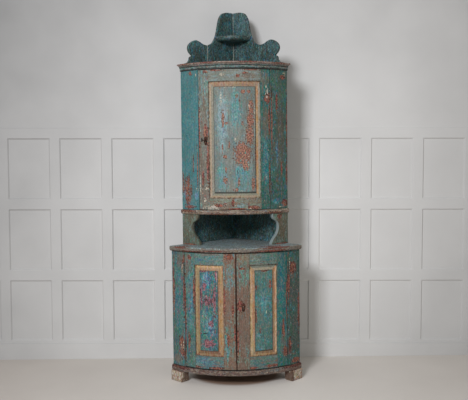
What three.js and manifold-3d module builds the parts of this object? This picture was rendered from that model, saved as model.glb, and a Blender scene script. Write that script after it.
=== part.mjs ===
// A bow-fronted corner cupboard of painted pine, made in two cases.
// The lower case has a pair of doors and carries the counter. The upper case stands on the counter with an
// open niche under one door, and its back boards are carried up and sawn into a crest with a small shelf.
//
// The plan is a quarter circle about the outer back corner. That corner is the origin while the pieces are
// made, the left and right walls lie 45 degrees to either side, and the bow faces -Y.

import * as THREE from 'three';
import Module from 'manifold-3d';
import { mergeVertices } from 'three/addons/utils/BufferGeometryUtils.js';

const wasm = await Module();
wasm.setup();

// Clearances and cutting, in millimetres
const fit = 0.3;
const overrun = 6;
const arcSag = 0.15;
const roundSteps = 3;

// Boards
const wallThickness = 18;
const frontThickness = 24;
const shelfThickness = 18;
const shelfHousing = 6;
const shelfSetback = 28;

// Feet and base board
const footHeight = 64;
const footWidth = 97;
const footDepth = 61;
const footProud = 6;
const backFootSide = 78;
const footChamfer = 3;
const baseThickness = 32;
const baseOverhang = 13;
const baseLowerRound = 4;
const baseUpperRound = 11;

// Lower case
const lowerRadius = 554;
const lowerBodyHeight = 704;
const lowerJointAngle = THREE.MathUtils.degToRad(34.2);
const lowerShelfHeight = 350;
const lowerHingeStile = 71;
const leftMeetingStile = 74;
const rightMeetingStile = 79;
const lowerTopRail = 71;
const lowerBottomRail = 75;
const lowerBand = 31;
const lowerHingeFromBottom = 128;
const lowerHingeFromTop = 106;

// Counter
const counterThickness = 30;
const counterOverhang = 19;
const counterLowerRound = 14;
const counterUpperRound = 5;

// Niche
const nicheHeight = 190;
const cheekWidth = 137;
const cheekSawAngle = THREE.MathUtils.degToRad(31);
const waistThickness = 28;
const waistOverhang = 12;
const waistLowerRound = 12;
const waistUpperRound = 8;

// Upper case
const upperRadius = 462;
const upperBodyHeight = 845;
const upperJointAngle = THREE.MathUtils.degToRad(28);
const upperShelfHeights = [285, 565];
const upperHingeStile = 60;
const upperLockStile = 66;
const upperTopRail = 70;
const upperBottomRail = 68;
const upperBand = 31;
const upperHingeFromBottom = 130;
const upperHingeFromTop = 138;
const upperPlankJoint = 250;
const topBoardThickness = 24;

// Cornice moulding, planted on the front of the top board
const corniceHeight = 41;
const corniceProjection = 29;
const corniceFillet = 9;
const corniceFoot = 6;
const corniceStep = 4;

// Crest
const crestHeight = 369;
const crestShelfRadius = 176;
const crestShelfThickness = 30;
const crestShelfHeight = 173;
const crestShelfLowerRound = 20;
const crestShelfUpperRound = 4;

// Door joinery
const doorGap = 3;
const grooveWidth = 8;
const grooveDepth = 10;
const grooveSetback = 7;
const panelPlay = 1.5;
const bandRise = 4;
const fieldStep = 4;
const fieldStepWidth = 3;
const tenonLength = 42;
const tenonShoulder = 16;

// Iron butt hinges, lifted off their pins
const hingeHeight = 80;
const leafThickness = 1.1;
const leafGap = 0.4;
const leafDepth = 18;
const knuckleRadius = 4.5;
const pinRadius = 2.2;
const knuckleSides = 16;

// Rim locks
const caseHeight = 76;
const caseDepth = 17;
const caseWall = 2;
const caseRecess = 2;
const boltHeight = 12;
const boltThickness = 6;
const boltInset = 6.5;
const boltAboveKey = 15;
const boltTailRoom = 3;
const keyholeRadius = 4;
const keyholeSlotWidth = 4.4;
const keyholeSlotDrop = 15;
const escutcheonWidth = 26;
const escutcheonHeight = 54;
const escutcheonThickness = 1.6;
const escutcheonSides = 28;
const upperKeyholeFromJoint = 48.4;
const upperKeyholeHeight = 422;
const upperCaseToEdge = 43;
const upperCaseToField = 16;
const lowerKeyholeFromSeam = 43;
const lowerKeyholeHeight = 383;
const lowerCaseToEdge = 38;
const lowerCaseToField = 26;

// Key
const keyShankRadius = 3.2;
const keyProud = 17;
const keyBowRadius = 12;
const keyBowWire = 2.6;
const keyBitDrop = 11;
const keyBitThickness = 3;
const keyBitWidth = 6;
const keySides = 8;
const keyBowSteps = 16;

// Upright bolt that holds the left leaf of the lower pair
const leafBoltFromSeam = 40;
const leafBoltWidth = 10;
const leafBoltThickness = 5;
const leafBoltLength = 118;
const leafBoltThrow = 14;
const leafBoltKnob = 9;
const leafBoltRoom = 1.2;
const leafPlateWidth = 30;
const leafPlateHeight = 66;
const leafPlateThickness = 2;
const leafPlateDrop = 22;
const leafStrapHeight = 9;
const leafStrapWall = 2;

// Levels, each measured from the floor for the lower case and from the counter top for the upper
const quarter = Math.PI / 4;
const bodyLevel = footHeight + baseThickness;
const counterLevel = bodyLevel + lowerBodyHeight;
const counterTop = counterLevel + counterThickness;
const waistTop = nicheHeight + waistThickness;
const upperBodyTop = waistTop + upperBodyHeight;
const corniceTop = upperBodyTop + corniceHeight;
const jointHalfGap = fit + leafThickness + leafGap / 2;

// Finishes
const paint = (colour, roughness = 0.75) => new THREE.MeshStandardMaterial({ color: colour, roughness });
const finishes = {
  caseBlue: () => paint('#467a7e'),
  doorBlue: () => paint('#5d8a86'),
  fieldBlue: () => paint('#5f97a3'),
  crestBlue: () => paint('#2a515a'),
  insideBlue: () => paint('#2f4a4c', 0.85),
  counterBlue: () => paint('#5c8584'),
  moulding: () => paint('#7f8d84'),
  baseGrey: () => paint('#6f6660', 0.85),
  bareFoot: () => paint('#b3a796', 0.9),
  iron: () => new THREE.MeshStandardMaterial({ color: '#3a2c24', roughness: 0.6, metalness: 0.7 }),
};

// Points in plan: by angle and radius about the corner, and by distances along the right and left walls
const at = (angle, radius) => new THREE.Vector2(radius * Math.sin(angle), -radius * Math.cos(angle));
const corner = (right, left) => new THREE.Vector2((right - left) * Math.SQRT1_2, -(right + left) * Math.SQRT1_2);

// How many chords follow an arc closely enough
function chords(radius, from, to) {
  const widest = 2 * Math.acos(1 - arcSag / radius);
  return Math.max(1, Math.ceil(Math.abs(to - from) / widest));
}

// An arc's points, in as many chords as an arc of another radius beside it has
function arc(radius, from, to, beside = radius) {
  const steps = chords(beside, from, to);
  return Array.from({ length: steps + 1 }, (_, i) => at(from + (to - from) * i / steps, radius));
}

// A quarter round in a profile, from a starting angle about a centre
function quarterRound(centre, radius, from) {
  return Array.from({ length: roundSteps + 1 }, (_, i) => {
    const angle = from + Math.PI / 2 * i / roundSteps;
    return new THREE.Vector2(centre.x + radius * Math.cos(angle), centre.y + radius * Math.sin(angle));
  });
}

// A closed geometry from points and triangles, turned so that its faces point out
function closedGeometry(points, triangles) {
  const cross = new THREE.Vector3();
  const volume = triangles.reduce((sum, [a, b, c]) =>
    sum + points[a].dot(cross.crossVectors(points[b], points[c])), 0);
  const faces = volume < 0 ? triangles.map(([a, b, c]) => [a, c, b]) : triangles;
  const geometry = new THREE.BufferGeometry().setFromPoints(points);
  geometry.setIndex(faces.flat());
  return geometry;
}

// Solids for cutting and joining
function toSolid(geometry, matrix = new THREE.Matrix4()) {
  const bare = geometry.clone().applyMatrix4(matrix);
  bare.deleteAttribute('normal');
  bare.deleteAttribute('uv');
  const merged = mergeVertices(bare);
  const triVerts = Uint32Array.from(merged.index.array);
  if (matrix.determinant() < 0) {
    triVerts.reverse();
  }
  const vertProperties = Float32Array.from(merged.attributes.position.array);
  return new wasm.Manifold(new wasm.Mesh({ numProp: 3, vertProperties, triVerts }));
}

function toGeometry(solid) {
  const mesh = solid.getMesh();
  const geometry = new THREE.BufferGeometry();
  geometry.setAttribute('position', new THREE.BufferAttribute(mesh.vertProperties, 3));
  geometry.setIndex(new THREE.BufferAttribute(mesh.triVerts, 1));
  const flat = geometry.toNonIndexed();
  flat.computeVertexNormals();
  return flat;
}

const join = (...solids) => solids.reduce((whole, solid) => whole.add(solid));
const cut = (whole, ...tools) => tools.reduce((rest, tool) => rest.subtract(tool), whole);

// A flat board with a plan outline, between two heights
function plate(outline, bottom, top) {
  const extruded = new THREE.ExtrudeGeometry(new THREE.Shape(outline), { depth: top - bottom, bevelEnabled: false });
  return toSolid(extruded.translate(0, 0, bottom));
}

// A block between two corners
function block(low, high) {
  const size = new THREE.Vector3().subVectors(high, low);
  const box = new THREE.BoxGeometry(size.x, size.y, size.z);
  return toSolid(box.translate((low.x + high.x) / 2, (low.y + high.y) / 2, (low.z + high.z) / 2));
}
const point = (x, y, z) => new THREE.Vector3(x, y, z);

// A board bent round the corner, between two radii, two angles and two heights
const curvedBoard = (inner, outer, from, to, bottom, top) =>
  plate([...arc(outer, from, to), ...arc(inner, to, from, outer)], bottom, top);

// A closed profile of radius and height, carried round the corner from one angle to another
function sweep(profile, from, to) {
  const steps = chords(Math.max(...profile.map(({ x }) => x)), from, to);
  const count = profile.length;
  const points = [];
  for (let i = 0; i <= steps; i += 1) {
    const angle = from + (to - from) * i / steps;
    for (const { x: radius, y: height } of profile) {
      const plan = at(angle, radius);
      points.push(point(plan.x, plan.y, height));
    }
  }
  const triangles = [];
  for (let i = 0; i < steps; i += 1) {
    for (let j = 0; j < count; j += 1) {
      const a = i * count + j;
      const b = i * count + (j + 1) % count;
      triangles.push([a, b, b + count], [a, b + count, a + count]);
    }
  }
  const caps = THREE.ShapeUtils.triangulateShape(profile, []);
  const last = steps * count;
  for (const [a, b, c] of caps) {
    triangles.push([a, c, b], [last + a, last + b, last + c]);
  }
  return toSolid(closedGeometry(points, triangles));
}

// A quarter-round board whose bowed edge is rounded above and below
function nosedBoard(radius, bottom, top, lowerRound, upperRound) {
  const core = radius - Math.max(lowerRound, upperRound);
  const profile = [
    new THREE.Vector2(core - overrun, bottom),
    ...quarterRound(new THREE.Vector2(radius - lowerRound, bottom + lowerRound), lowerRound, -Math.PI / 2),
    ...quarterRound(new THREE.Vector2(radius - upperRound, top - upperRound), upperRound, 0),
    new THREE.Vector2(core - overrun, top),
  ];
  const inside = plate([corner(0, 0), ...arc(core, -quarter, quarter, radius)], bottom, top);
  return join(inside, sweep(profile, -quarter, quarter));
}

// The plan of a board that fits between the walls, inset from their outer faces
function betweenWalls(radius, inset) {
  const edge = Math.asin(inset / radius);
  return [corner(inset, inset), ...arc(radius, edge - quarter, quarter - edge)];
}

// Room for the two walls at the edges of a board that runs past their front ends
function wallNotches(wallLength, bottom, top) {
  const inner = wallThickness + fit;
  const end = wallLength + fit;
  const low = bottom - overrun;
  const high = top + overrun;
  const right = [corner(-overrun, -overrun), corner(end, -overrun), corner(end, inner), corner(-overrun, inner)];
  const left = right.map(({ x, y }) => new THREE.Vector2(-x, y));
  return [plate(right, low, high), plate(left, low, high)];
}

// A wall board, from its outline of distance along the wall and height
function wallBoard(side, outline, from, to) {
  const along = point(side * Math.SQRT1_2, -Math.SQRT1_2, 0);
  const inward = point(-side * Math.SQRT1_2, -Math.SQRT1_2, 0);
  const frame = new THREE.Matrix4().makeBasis(along, point(0, 0, 1), inward);
  const heights = outline.map(({ y }) => y);
  const low = Math.min(...heights) - overrun;
  const high = Math.max(...heights) + overrun;
  const sawn = new THREE.ExtrudeGeometry(new THREE.Shape(outline), { depth: wallThickness, bevelEnabled: false });
  const strip = [[from, low], [to, low], [to, high], [from, high]].map(([u, z]) => new THREE.Vector2(u, z));
  const ripped = new THREE.ExtrudeGeometry(new THREE.Shape(strip), {
    depth: wallThickness + 2 * overrun, bevelEnabled: false,
  }).translate(0, 0, -overrun);
  return toSolid(sawn, frame).intersect(toSolid(ripped, frame));
}

// Where a wall's front end meets the back of the front frame
const wallLengthBehind = (radius) => Math.sqrt((radius - frontThickness) ** 2 - wallThickness ** 2) - fit;
const leftWallStart = wallThickness + fit;

// Named meshes
function piece(name, solid, finish) {
  const mesh = new THREE.Mesh(toGeometry(solid), finishes[finish]());
  mesh.name = name;
  return mesh;
}

// Turns what was made at the middle of the bow to another angle
function turned(solid, angle) {
  return solid.rotate([0, 0, THREE.MathUtils.radToDeg(angle)]);
}

// Door frames and fielded panels

// A panel bent to the bow: a tongue all round, a sloping band, a small step and a raised field
function fieldedPanel(door, radii) {
  const reach = grooveDepth - panelPlay;
  const insets = [0, reach, reach + door.band / 2, reach + door.band, reach + door.band + fieldStepWidth];
  const front = [
    radii.tongueOuter, radii.tongueOuter, (radii.tongueOuter + radii.bandTop) / 2, radii.bandTop, radii.field,
  ];
  // Grid lines in one direction, each with how far in from the edge it is counted
  const lines = (openFrom, openTo, scale, fieldSteps) => {
    const from = openFrom - reach / scale;
    const to = openTo + reach / scale;
    const near = insets.map((inset, i) => [from + inset / scale, i]);
    const far = insets.map((inset, i) => [to - inset / scale, i]).reverse();
    const [fieldFrom, fieldTo] = [near.at(-1)[0], far[0][0]];
    const count = fieldSteps(fieldFrom, fieldTo);
    const field = Array.from({ length: count - 1 }, (_, i) => (
      [fieldFrom + (fieldTo - fieldFrom) * (i + 1) / count, insets.length - 1]
    ));
    return [...near, ...field, ...far];
  };
  const across = lines(door.openFrom, door.openTo, door.radius, (from, to) => chords(door.radius, from, to));
  const up = lines(door.openBottom, door.openTop, 1, () => 1);
  const level = (i, j) => Math.min(across[i][1], up[j][1]);
  const columns = across.length;
  const rows = up.length;
  const points = [];
  const layer = (radiusAt) => {
    for (let i = 0; i < columns; i += 1) {
      for (let j = 0; j < rows; j += 1) {
        const plan = at(across[i][0], radiusAt(i, j));
        points.push(point(plan.x, plan.y, up[j][0]));
      }
    }
  };
  layer((i, j) => front[level(i, j)]);
  layer(() => radii.tongueInner);
  const behind = columns * rows;
  const index = (i, j) => i * rows + j;
  const triangles = [];
  for (let i = 0; i + 1 < columns; i += 1) {
    for (let j = 0; j + 1 < rows; j += 1) {
      const [a, b, c, d] = [index(i, j), index(i + 1, j), index(i + 1, j + 1), index(i, j + 1)];
      if (level(i + 1, j) === level(i, j + 1)) {
        triangles.push([a, b, c], [a, c, d]);
      } else {
        triangles.push([a, b, d], [b, c, d]);
      }
      triangles.push([behind + a, behind + c, behind + b], [behind + a, behind + d, behind + c]);
    }
  }
  const rim = [];
  for (let i = 0; i < columns; i += 1) rim.push(index(i, 0));
  for (let j = 1; j < rows; j += 1) rim.push(index(columns - 1, j));
  for (let i = columns - 2; i >= 0; i -= 1) rim.push(index(i, rows - 1));
  for (let j = rows - 2; j > 0; j -= 1) rim.push(index(0, j));
  rim.forEach((a, k) => {
    const b = rim[(k + 1) % rim.length];
    triangles.push([a, behind + a, behind + b], [a, behind + b, b]);
  });
  return toSolid(closedGeometry(points, triangles));
}

// The five pieces of a door, with stub tenons and a groove for the panel
function framedDoor(door) {
  const back = door.radius - frontThickness;
  const groove = { inner: back + grooveSetback, outer: back + grooveSetback + grooveWidth };
  const radii = {
    tongueInner: groove.inner + fit,
    tongueOuter: groove.outer - fit,
    bandTop: groove.outer - fit + bandRise,
    field: groove.outer - fit + bandRise + fieldStep,
  };
  const turn = (length) => length / door.radius;
  const openFrom = door.from + turn(door.fromStile);
  const openTo = door.to - turn(door.toStile);
  const openBottom = door.bottom + door.bottomRail;
  const openTop = door.top - door.topRail;
  const opening = { ...door, openFrom, openTo, openBottom, openTop };

  const tenonHeights = {
    bottom: [door.bottom + tenonShoulder, openBottom - grooveDepth],
    top: [openTop + grooveDepth, door.top - tenonShoulder],
  };
  const tenonBetween = ([low, high], room) => curvedBoard(
    groove.inner + fit - room, groove.outer - fit + room,
    openFrom - turn(tenonLength + room), openTo + turn(tenonLength + room), low - room, high + room,
  );
  const mortises = Object.values(tenonHeights).map((heights) => tenonBetween(heights, fit));
  const stileGroove = curvedBoard(
    groove.inner, groove.outer, openFrom - turn(grooveDepth), openTo + turn(grooveDepth),
    openBottom - grooveDepth, openTop + grooveDepth,
  );
  const stile = (from, to) => cut(
    curvedBoard(back, door.radius, from, to, door.bottom, door.top), stileGroove, ...mortises,
  );
  const rail = (heights, low, high, grooveLow, grooveHigh) => {
    const shoulderFrom = openFrom + turn(fit);
    const shoulderTo = openTo - turn(fit);
    const board = curvedBoard(back, door.radius, shoulderFrom, shoulderTo, low, high);
    const ploughed = curvedBoard(
      groove.inner, groove.outer, shoulderFrom - turn(overrun), shoulderTo + turn(overrun), grooveLow, grooveHigh,
    );
    return join(cut(board, ploughed), tenonBetween(heights, 0));
  };
  return {
    opening,
    fromStile: stile(door.from, openFrom),
    toStile: stile(openTo, door.to),
    bottomRail: rail(tenonHeights.bottom, door.bottom, openBottom, openBottom - grooveDepth, openBottom + overrun),
    topRail: rail(tenonHeights.top, openTop, door.top, openTop - overrun, openTop + grooveDepth),
    panel: fieldedPanel(opening, radii),
  };
}

// Iron fittings, made at the middle of the bow and then turned to their place

// A round bar along Z
function bar(radius, bottom, top, sides) {
  const cylinder = new THREE.CylinderGeometry(radius, radius, top - bottom, sides);
  return toSolid(cylinder.rotateX(Math.PI / 2).translate(0, 0, (bottom + top) / 2));
}

// The two leaves of a hinge. The door lies to the side of the joint that swing gives: -1 left, +1 right
function hinge(radius, middle, swing) {
  const axis = -(radius + fit + knuckleRadius);
  const low = middle - hingeHeight / 2;
  const high = middle + hingeHeight / 2;
  const seat = jointHalfGap - fit;
  const leaf = (side, tabLow, tabHigh) => {
    const [near, far] = [side * leafGap / 2, side * seat].sort((a, b) => a - b);
    const plateOfLeaf = block(point(near, fit - radius, low), point(far, leafDepth - radius, high));
    const tab = block(point(near, axis, tabLow), point(far, leafDepth - radius, tabHigh));
    return join(plateOfLeaf, tab);
  };
  const knuckle = (bottom, top) => bar(knuckleRadius, bottom, top, knuckleSides).translate([0, axis, 0]);
  const bore = bar(pinRadius + fit, middle - overrun, high - knuckleRadius, knuckleSides).translate([0, axis, 0]);
  const pin = bar(pinRadius, middle - fit, high - knuckleRadius - fit, knuckleSides).translate([0, axis, 0]);
  return {
    door: cut(join(leaf(swing, middle, high), knuckle(middle, high)), bore),
    frame: join(leaf(-swing, low, middle - fit), knuckle(low, middle - fit), pin),
  };
}

// The opening for the key, through whatever lies between two depths: a round hole over a slot
function keyway(frontY, backY, room = 0) {
  const radius = keyholeRadius + room;
  const hole = bar(radius, 0, backY - frontY, knuckleSides).rotate([-90, 0, 0]).translate([0, frontY, 0]);
  const half = keyholeSlotWidth / 2 + room;
  const slot = block(point(-half, frontY, -keyholeSlotDrop - room), point(half, backY, 0));
  return join(hole, slot);
}

// A rim lock let into the back of a stile, with its bolt drawn in towards the keyhole's left
function rimLock(radius, toEdge, toField) {
  const faceY = -(radius - frontThickness) - caseRecess + fit;
  const backY = faceY + caseDepth;
  const half = caseHeight / 2;
  const outer = block(point(-toEdge, faceY, -half), point(toField, backY, half));
  const cavity = block(
    point(-toEdge + caseWall, faceY - overrun, -half + caseWall),
    point(toField - caseWall, backY - caseWall, half - caseWall),
  );
  const boltFront = faceY + caseRecess + boltInset;
  const boltLow = boltAboveKey;
  const boltHigh = boltAboveKey + boltHeight;
  const slot = block(
    point(-toEdge - overrun, boltFront - fit, boltLow - fit),
    point(-toEdge + caseWall + fit, boltFront + boltThickness + fit, boltHigh + fit),
  );
  const recess = block(
    point(-toEdge - fit, faceY - fit, -half - fit), point(toField + fit, backY, half + fit),
  );
  return {
    housing: cut(outer, cavity, slot),
    bolt: block(
      point(-toEdge, boltFront, boltLow),
      point(toField - caseWall - boltTailRoom, boltFront + boltThickness, boltHigh),
    ),
    recess,
    keyway: keyway(-radius - overrun, backY - caseWall - fit),
  };
}

// An oval iron plate round the keyhole
function escutcheon(radius) {
  const cylinder = new THREE.CylinderGeometry(1, 1, escutcheonThickness, escutcheonSides);
  cylinder.scale(escutcheonWidth / 2, 1, escutcheonHeight / 2);
  const y = -(radius + fit + escutcheonThickness / 2);
  const oval = toSolid(cylinder.translate(0, y, -keyholeSlotDrop / 2));
  return cut(oval, keyway(y - escutcheonThickness, y + escutcheonThickness, 0));
}

// The key, standing in its hole with the bit down: shank, ring bow and bit
function key(radius) {
  const tipY = -(radius - frontThickness) - caseRecess + caseDepth - caseWall - fit;
  const bowY = -(radius + keyProud);
  const shank = bar(keyShankRadius, 0, tipY - bowY, keySides).rotate([-90, 0, 0]).translate([0, bowY, 0]);
  const ring = new THREE.TorusGeometry(keyBowRadius - keyBowWire, keyBowWire, keySides, keyBowSteps);
  const bow = toSolid(ring.rotateY(Math.PI / 2).translate(0, bowY - keyBowRadius + keyBowWire, 0));
  const half = keyBitThickness / 2;
  const bit = block(point(-half, tipY - keyBitWidth, -keyBitDrop), point(half, tipY, 0));
  return join(shank, bow, bit);
}

// The upright bolt of the left leaf, in the two straps of its plate
function leafBolt(radius, doorTop) {
  const inner = radius - frontThickness;
  const seatY = -(Math.sqrt(inner ** 2 - (leafPlateWidth / 2) ** 2) - fit);
  const plateY = seatY + leafPlateThickness;
  const half = leafBoltWidth / 2;
  const boltY = plateY + leafBoltThickness + fit;
  const top = doorTop - leafPlateDrop;
  const bottom = top - leafPlateHeight;
  const strapHalf = half + fit + leafStrapWall;
  const strap = (low) => block(
    point(-strapHalf, plateY - leafPlateThickness / 2, low),
    point(strapHalf, boltY + fit + leafStrapWall, low + leafStrapHeight),
  );
  const channel = block(
    point(-half - fit, plateY, bottom - overrun), point(half + fit, boltY + fit, top + overrun),
  );
  const backing = block(point(-leafPlateWidth / 2, seatY, bottom), point(leafPlateWidth / 2, plateY, top));
  const shank = block(point(-half, plateY + fit, doorTop - leafBoltLength), point(half, boltY, doorTop));
  const knobLevel = bottom - leafBoltThrow - leafBoltRoom - leafBoltKnob / 2;
  const knob = bar(leafBoltKnob / 2, -leafBoltThickness / 2, leafBoltKnob, keySides)
    .rotate([-90, 0, 0]).translate([0, boltY, knobLevel]);
  return {
    keeper: cut(join(backing, strap(bottom), strap(top - leafStrapHeight)), channel),
    bolt: join(shank, knob),
    socket: block(
      point(-half - leafBoltRoom, plateY + fit - leafBoltRoom, doorTop),
      point(half + leafBoltRoom, boltY + leafBoltRoom, doorTop + doorGap + leafBoltThrow),
    ),
  };
}

// Outline of the crest from the corner outwards, as shares of the wall's length and of the crest's height
const crestBrowShares = [
  [0, 1], [0.155, 0.996], [0.255, 0.962], [0.308, 0.889], [0.331, 0.826], [0.347, 0.752], [0.365, 0.668],
  [0.384, 0.583], [0.417, 0.503], [0.460, 0.437], [0.508, 0.404], [0.574, 0.379], [0.652, 0.388],
  [0.722, 0.421], [0.794, 0.436], [0.867, 0.399], [0.917, 0.347], [0.934, 0.285], [0.913, 0.222], [0.862, 0.171],
];
const crestStepShares = [[0.862, 0.171], [0.902, 0.140], [0.913, 0.092], [0.950, 0.046], [1, 0.028]];

function crestOutline(length) {
  const curve = (shares, steps) => new THREE.SplineCurve(
    shares.map(([along, height]) => new THREE.Vector2(along * length, corniceTop + height * crestHeight)),
  ).getPoints(steps);
  const brow = curve(crestBrowShares, 2.5 * crestBrowShares.length);
  const step = curve(crestStepShares, 2 * crestStepShares.length).slice(1);
  return [new THREE.Vector2(0, 0), ...brow, ...step, new THREE.Vector2(length, 0)];
}

// Sawn edge of a niche cheek, as shares of its width and of the niche's height, from the top down
const cheekBracketShares = [[0.927, 1], [0.920, 0.930], [0.861, 0.842], [0.760, 0.785], [0.672, 0.748]];
const cheekBellyShares = [
  [0.672, 0.748], [0.610, 0.680], [0.588, 0.570], [0.613, 0.463], [0.693, 0.337], [0.818, 0.232],
  [0.920, 0.137], [0.978, 0.063], [1, 0],
];

// What is sawn away from the cheek on one side, straight through its thickness
function cheekWaste(side) {
  const across = (width) => upperRadius * Math.sin(quarter - width / upperRadius - cheekSawAngle);
  const curve = (shares, steps) => new THREE.SplineCurve(
    shares.map(([width, height]) => new THREE.Vector2(side * across(width * cheekWidth), height * nicheHeight)),
  ).getPoints(steps);
  const edge = [...curve(cheekBracketShares, 10), ...curve(cheekBellyShares, 20).slice(1)];
  const clear = side * across(cheekWidth + 2 * overrun);
  const first = new THREE.Vector2(edge[0].x, nicheHeight + overrun);
  const last = new THREE.Vector2(edge.at(-1).x, -overrun);
  const outline = [first, ...edge, last, new THREE.Vector2(clear, -overrun), new THREE.Vector2(clear, first.y)];
  const saw = new THREE.ExtrudeGeometry(new THREE.Shape(outline), {
    depth: frontThickness + 2 * overrun + upperRadius / 8, bevelEnabled: false,
  });
  const upright = toSolid(saw.rotateX(Math.PI / 2)).translate([0, -upperRadius + frontThickness + upperRadius / 8, 0]);
  return turned(upright, side * cheekSawAngle);
}

// Cornice: a foot, a cove and a top fillet
function corniceProfile() {
  const inner = upperRadius + fit;
  const outer = upperRadius + corniceProjection;
  const footEnd = upperRadius + corniceFoot;
  const coveTop = upperBodyTop + corniceHeight - corniceFillet;
  const coveLow = upperBodyTop + corniceStep;
  const coveEnd = outer - corniceStep;
  const cove = Array.from({ length: 6 }, (_, i) => {
    const angle = Math.PI / 2 * i / 5;
    return new THREE.Vector2(
      coveEnd - (coveEnd - footEnd) * Math.cos(angle), coveLow + (coveTop - coveLow) * Math.sin(angle),
    );
  });
  return [
    new THREE.Vector2(inner, upperBodyTop), new THREE.Vector2(footEnd, upperBodyTop), ...cove,
    new THREE.Vector2(outer, coveTop), new THREE.Vector2(outer, corniceTop), new THREE.Vector2(inner, corniceTop),
  ];
}

// Lower case
const lowerCase = new THREE.Group();
const lowerWallLength = wallLengthBehind(lowerRadius);
const lowerInner = lowerRadius - frontThickness;
const baseRadius = lowerRadius + baseOverhang;

function foot(rightLow, rightSide, leftLow, leftSide) {
  const inset = footChamfer;
  const outline = [
    corner(rightLow, leftLow), corner(rightLow + rightSide, leftLow),
    corner(rightLow + rightSide, leftLow + leftSide), corner(rightLow, leftLow + leftSide),
  ];
  const extruded = new THREE.ExtrudeGeometry(new THREE.Shape(outline), {
    depth: footHeight - fit - 2 * inset, bevelThickness: inset, bevelSize: inset, bevelOffset: -inset, bevelSegments: 1,
  });
  return toSolid(extruded.translate(0, 0, inset));
}
const footFront = baseRadius + footProud - footDepth;
lowerCase.add(
  piece('foot_front_left', foot(0, footWidth, footFront, footDepth), 'bareFoot'),
  piece('foot_front_right', foot(footFront, footDepth, 0, footWidth), 'bareFoot'),
  piece('foot_back', foot(0, backFootSide, 0, backFootSide), 'bareFoot'),
  piece('base_board', nosedBoard(baseRadius, footHeight, bodyLevel - fit, baseLowerRound, baseUpperRound), 'baseGrey'),
);

const lowerShelfLevel = bodyLevel + lowerShelfHeight;
const housedShelf = (radius, level, room) => plate(
  betweenWalls(radius + room, wallThickness - shelfHousing + fit - room), level - room, level + shelfThickness + room,
);
const lowerShelfRadius = lowerInner - shelfSetback;
const lowerHousing = housedShelf(lowerShelfRadius, lowerShelfLevel, fit);
const straightWall = (length, bottom, top) =>
  [[0, bottom], [length, bottom], [length, top], [0, top]].map(([u, z]) => new THREE.Vector2(u, z));
const lowerWall = straightWall(lowerWallLength, bodyLevel, counterLevel - fit);
lowerCase.add(
  piece('lower_back_left', cut(wallBoard(-1, lowerWall, leftWallStart, lowerWallLength), lowerHousing), 'insideBlue'),
  piece('lower_back_right', cut(wallBoard(1, lowerWall, 0, lowerWallLength), lowerHousing), 'insideBlue'),
  piece('lower_shelf', housedShelf(lowerShelfRadius, lowerShelfLevel, 0), 'insideBlue'),
);
for (const [side, name] of [[-1, 'left'], [1, 'right']]) {
  const edges = [side * quarter, side * (lowerJointAngle + jointHalfGap / lowerRadius)].sort((a, b) => a - b);
  const stile = curvedBoard(lowerInner, lowerRadius, ...edges, bodyLevel, counterLevel - fit);
  lowerCase.add(piece(`lower_stile_${name}`, stile, 'caseBlue'));
}

// Lower doors: the left leaf is bolted to the counter, the right leaf is locked to the left one
const lowerDoorBottom = bodyLevel + doorGap;
const lowerDoorTop = counterLevel - doorGap;
const meetingEdge = doorGap / 2 / lowerRadius;
const lowerHingeEdge = lowerJointAngle - jointHalfGap / lowerRadius;
const lowerDoorSizes = {
  radius: lowerRadius, bottom: lowerDoorBottom, top: lowerDoorTop,
  topRail: lowerTopRail, bottomRail: lowerBottomRail, band: lowerBand,
};
const leftDoor = framedDoor({
  ...lowerDoorSizes, from: -lowerHingeEdge, to: -meetingEdge, fromStile: lowerHingeStile, toStile: leftMeetingStile,
});
const rightDoor = framedDoor({
  ...lowerDoorSizes, from: meetingEdge, to: lowerHingeEdge, fromStile: rightMeetingStile, toStile: lowerHingeStile,
});
const lowerLock = rimLock(lowerRadius, lowerCaseToEdge, lowerCaseToField);
const lowerKeyholeAngle = lowerKeyholeFromSeam / lowerRadius;
const lowerKeyholeLevel = bodyLevel + lowerKeyholeHeight;
const atLowerLock = (solid) => turned(solid, lowerKeyholeAngle).translate([0, 0, lowerKeyholeLevel]);
const lockedStile = cut(rightDoor.fromStile, atLowerLock(lowerLock.recess), atLowerLock(lowerLock.keyway));
const leftBolt = leafBolt(lowerRadius, lowerDoorTop);
const atLeafBolt = (solid) => turned(solid, -leafBoltFromSeam / lowerInner);
lowerCase.add(
  piece('lower_left_door_hinge_stile', leftDoor.fromStile, 'doorBlue'),
  piece('lower_left_door_meeting_stile', leftDoor.toStile, 'doorBlue'),
  piece('lower_left_door_top_rail', leftDoor.topRail, 'doorBlue'),
  piece('lower_left_door_bottom_rail', leftDoor.bottomRail, 'doorBlue'),
  piece('lower_left_door_panel', leftDoor.panel, 'fieldBlue'),
  piece('lower_left_door_bolt', atLeafBolt(leftBolt.bolt), 'iron'),
  piece('lower_left_door_bolt_plate', atLeafBolt(leftBolt.keeper), 'iron'),
  piece('lower_right_door_hinge_stile', rightDoor.toStile, 'doorBlue'),
  piece('lower_right_door_meeting_stile', lockedStile, 'doorBlue'),
  piece('lower_right_door_top_rail', rightDoor.topRail, 'doorBlue'),
  piece('lower_right_door_bottom_rail', rightDoor.bottomRail, 'doorBlue'),
  piece('lower_right_door_panel', rightDoor.panel, 'fieldBlue'),
  piece('lower_lock_case', atLowerLock(lowerLock.housing), 'iron'),
  piece('lower_lock_bolt', atLowerLock(lowerLock.bolt), 'iron'),
  piece('lower_escutcheon', atLowerLock(escutcheon(lowerRadius)), 'iron'),
);
const lowerHingeLevels = { bottom: bodyLevel + lowerHingeFromBottom, top: counterLevel - lowerHingeFromTop };
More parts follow.
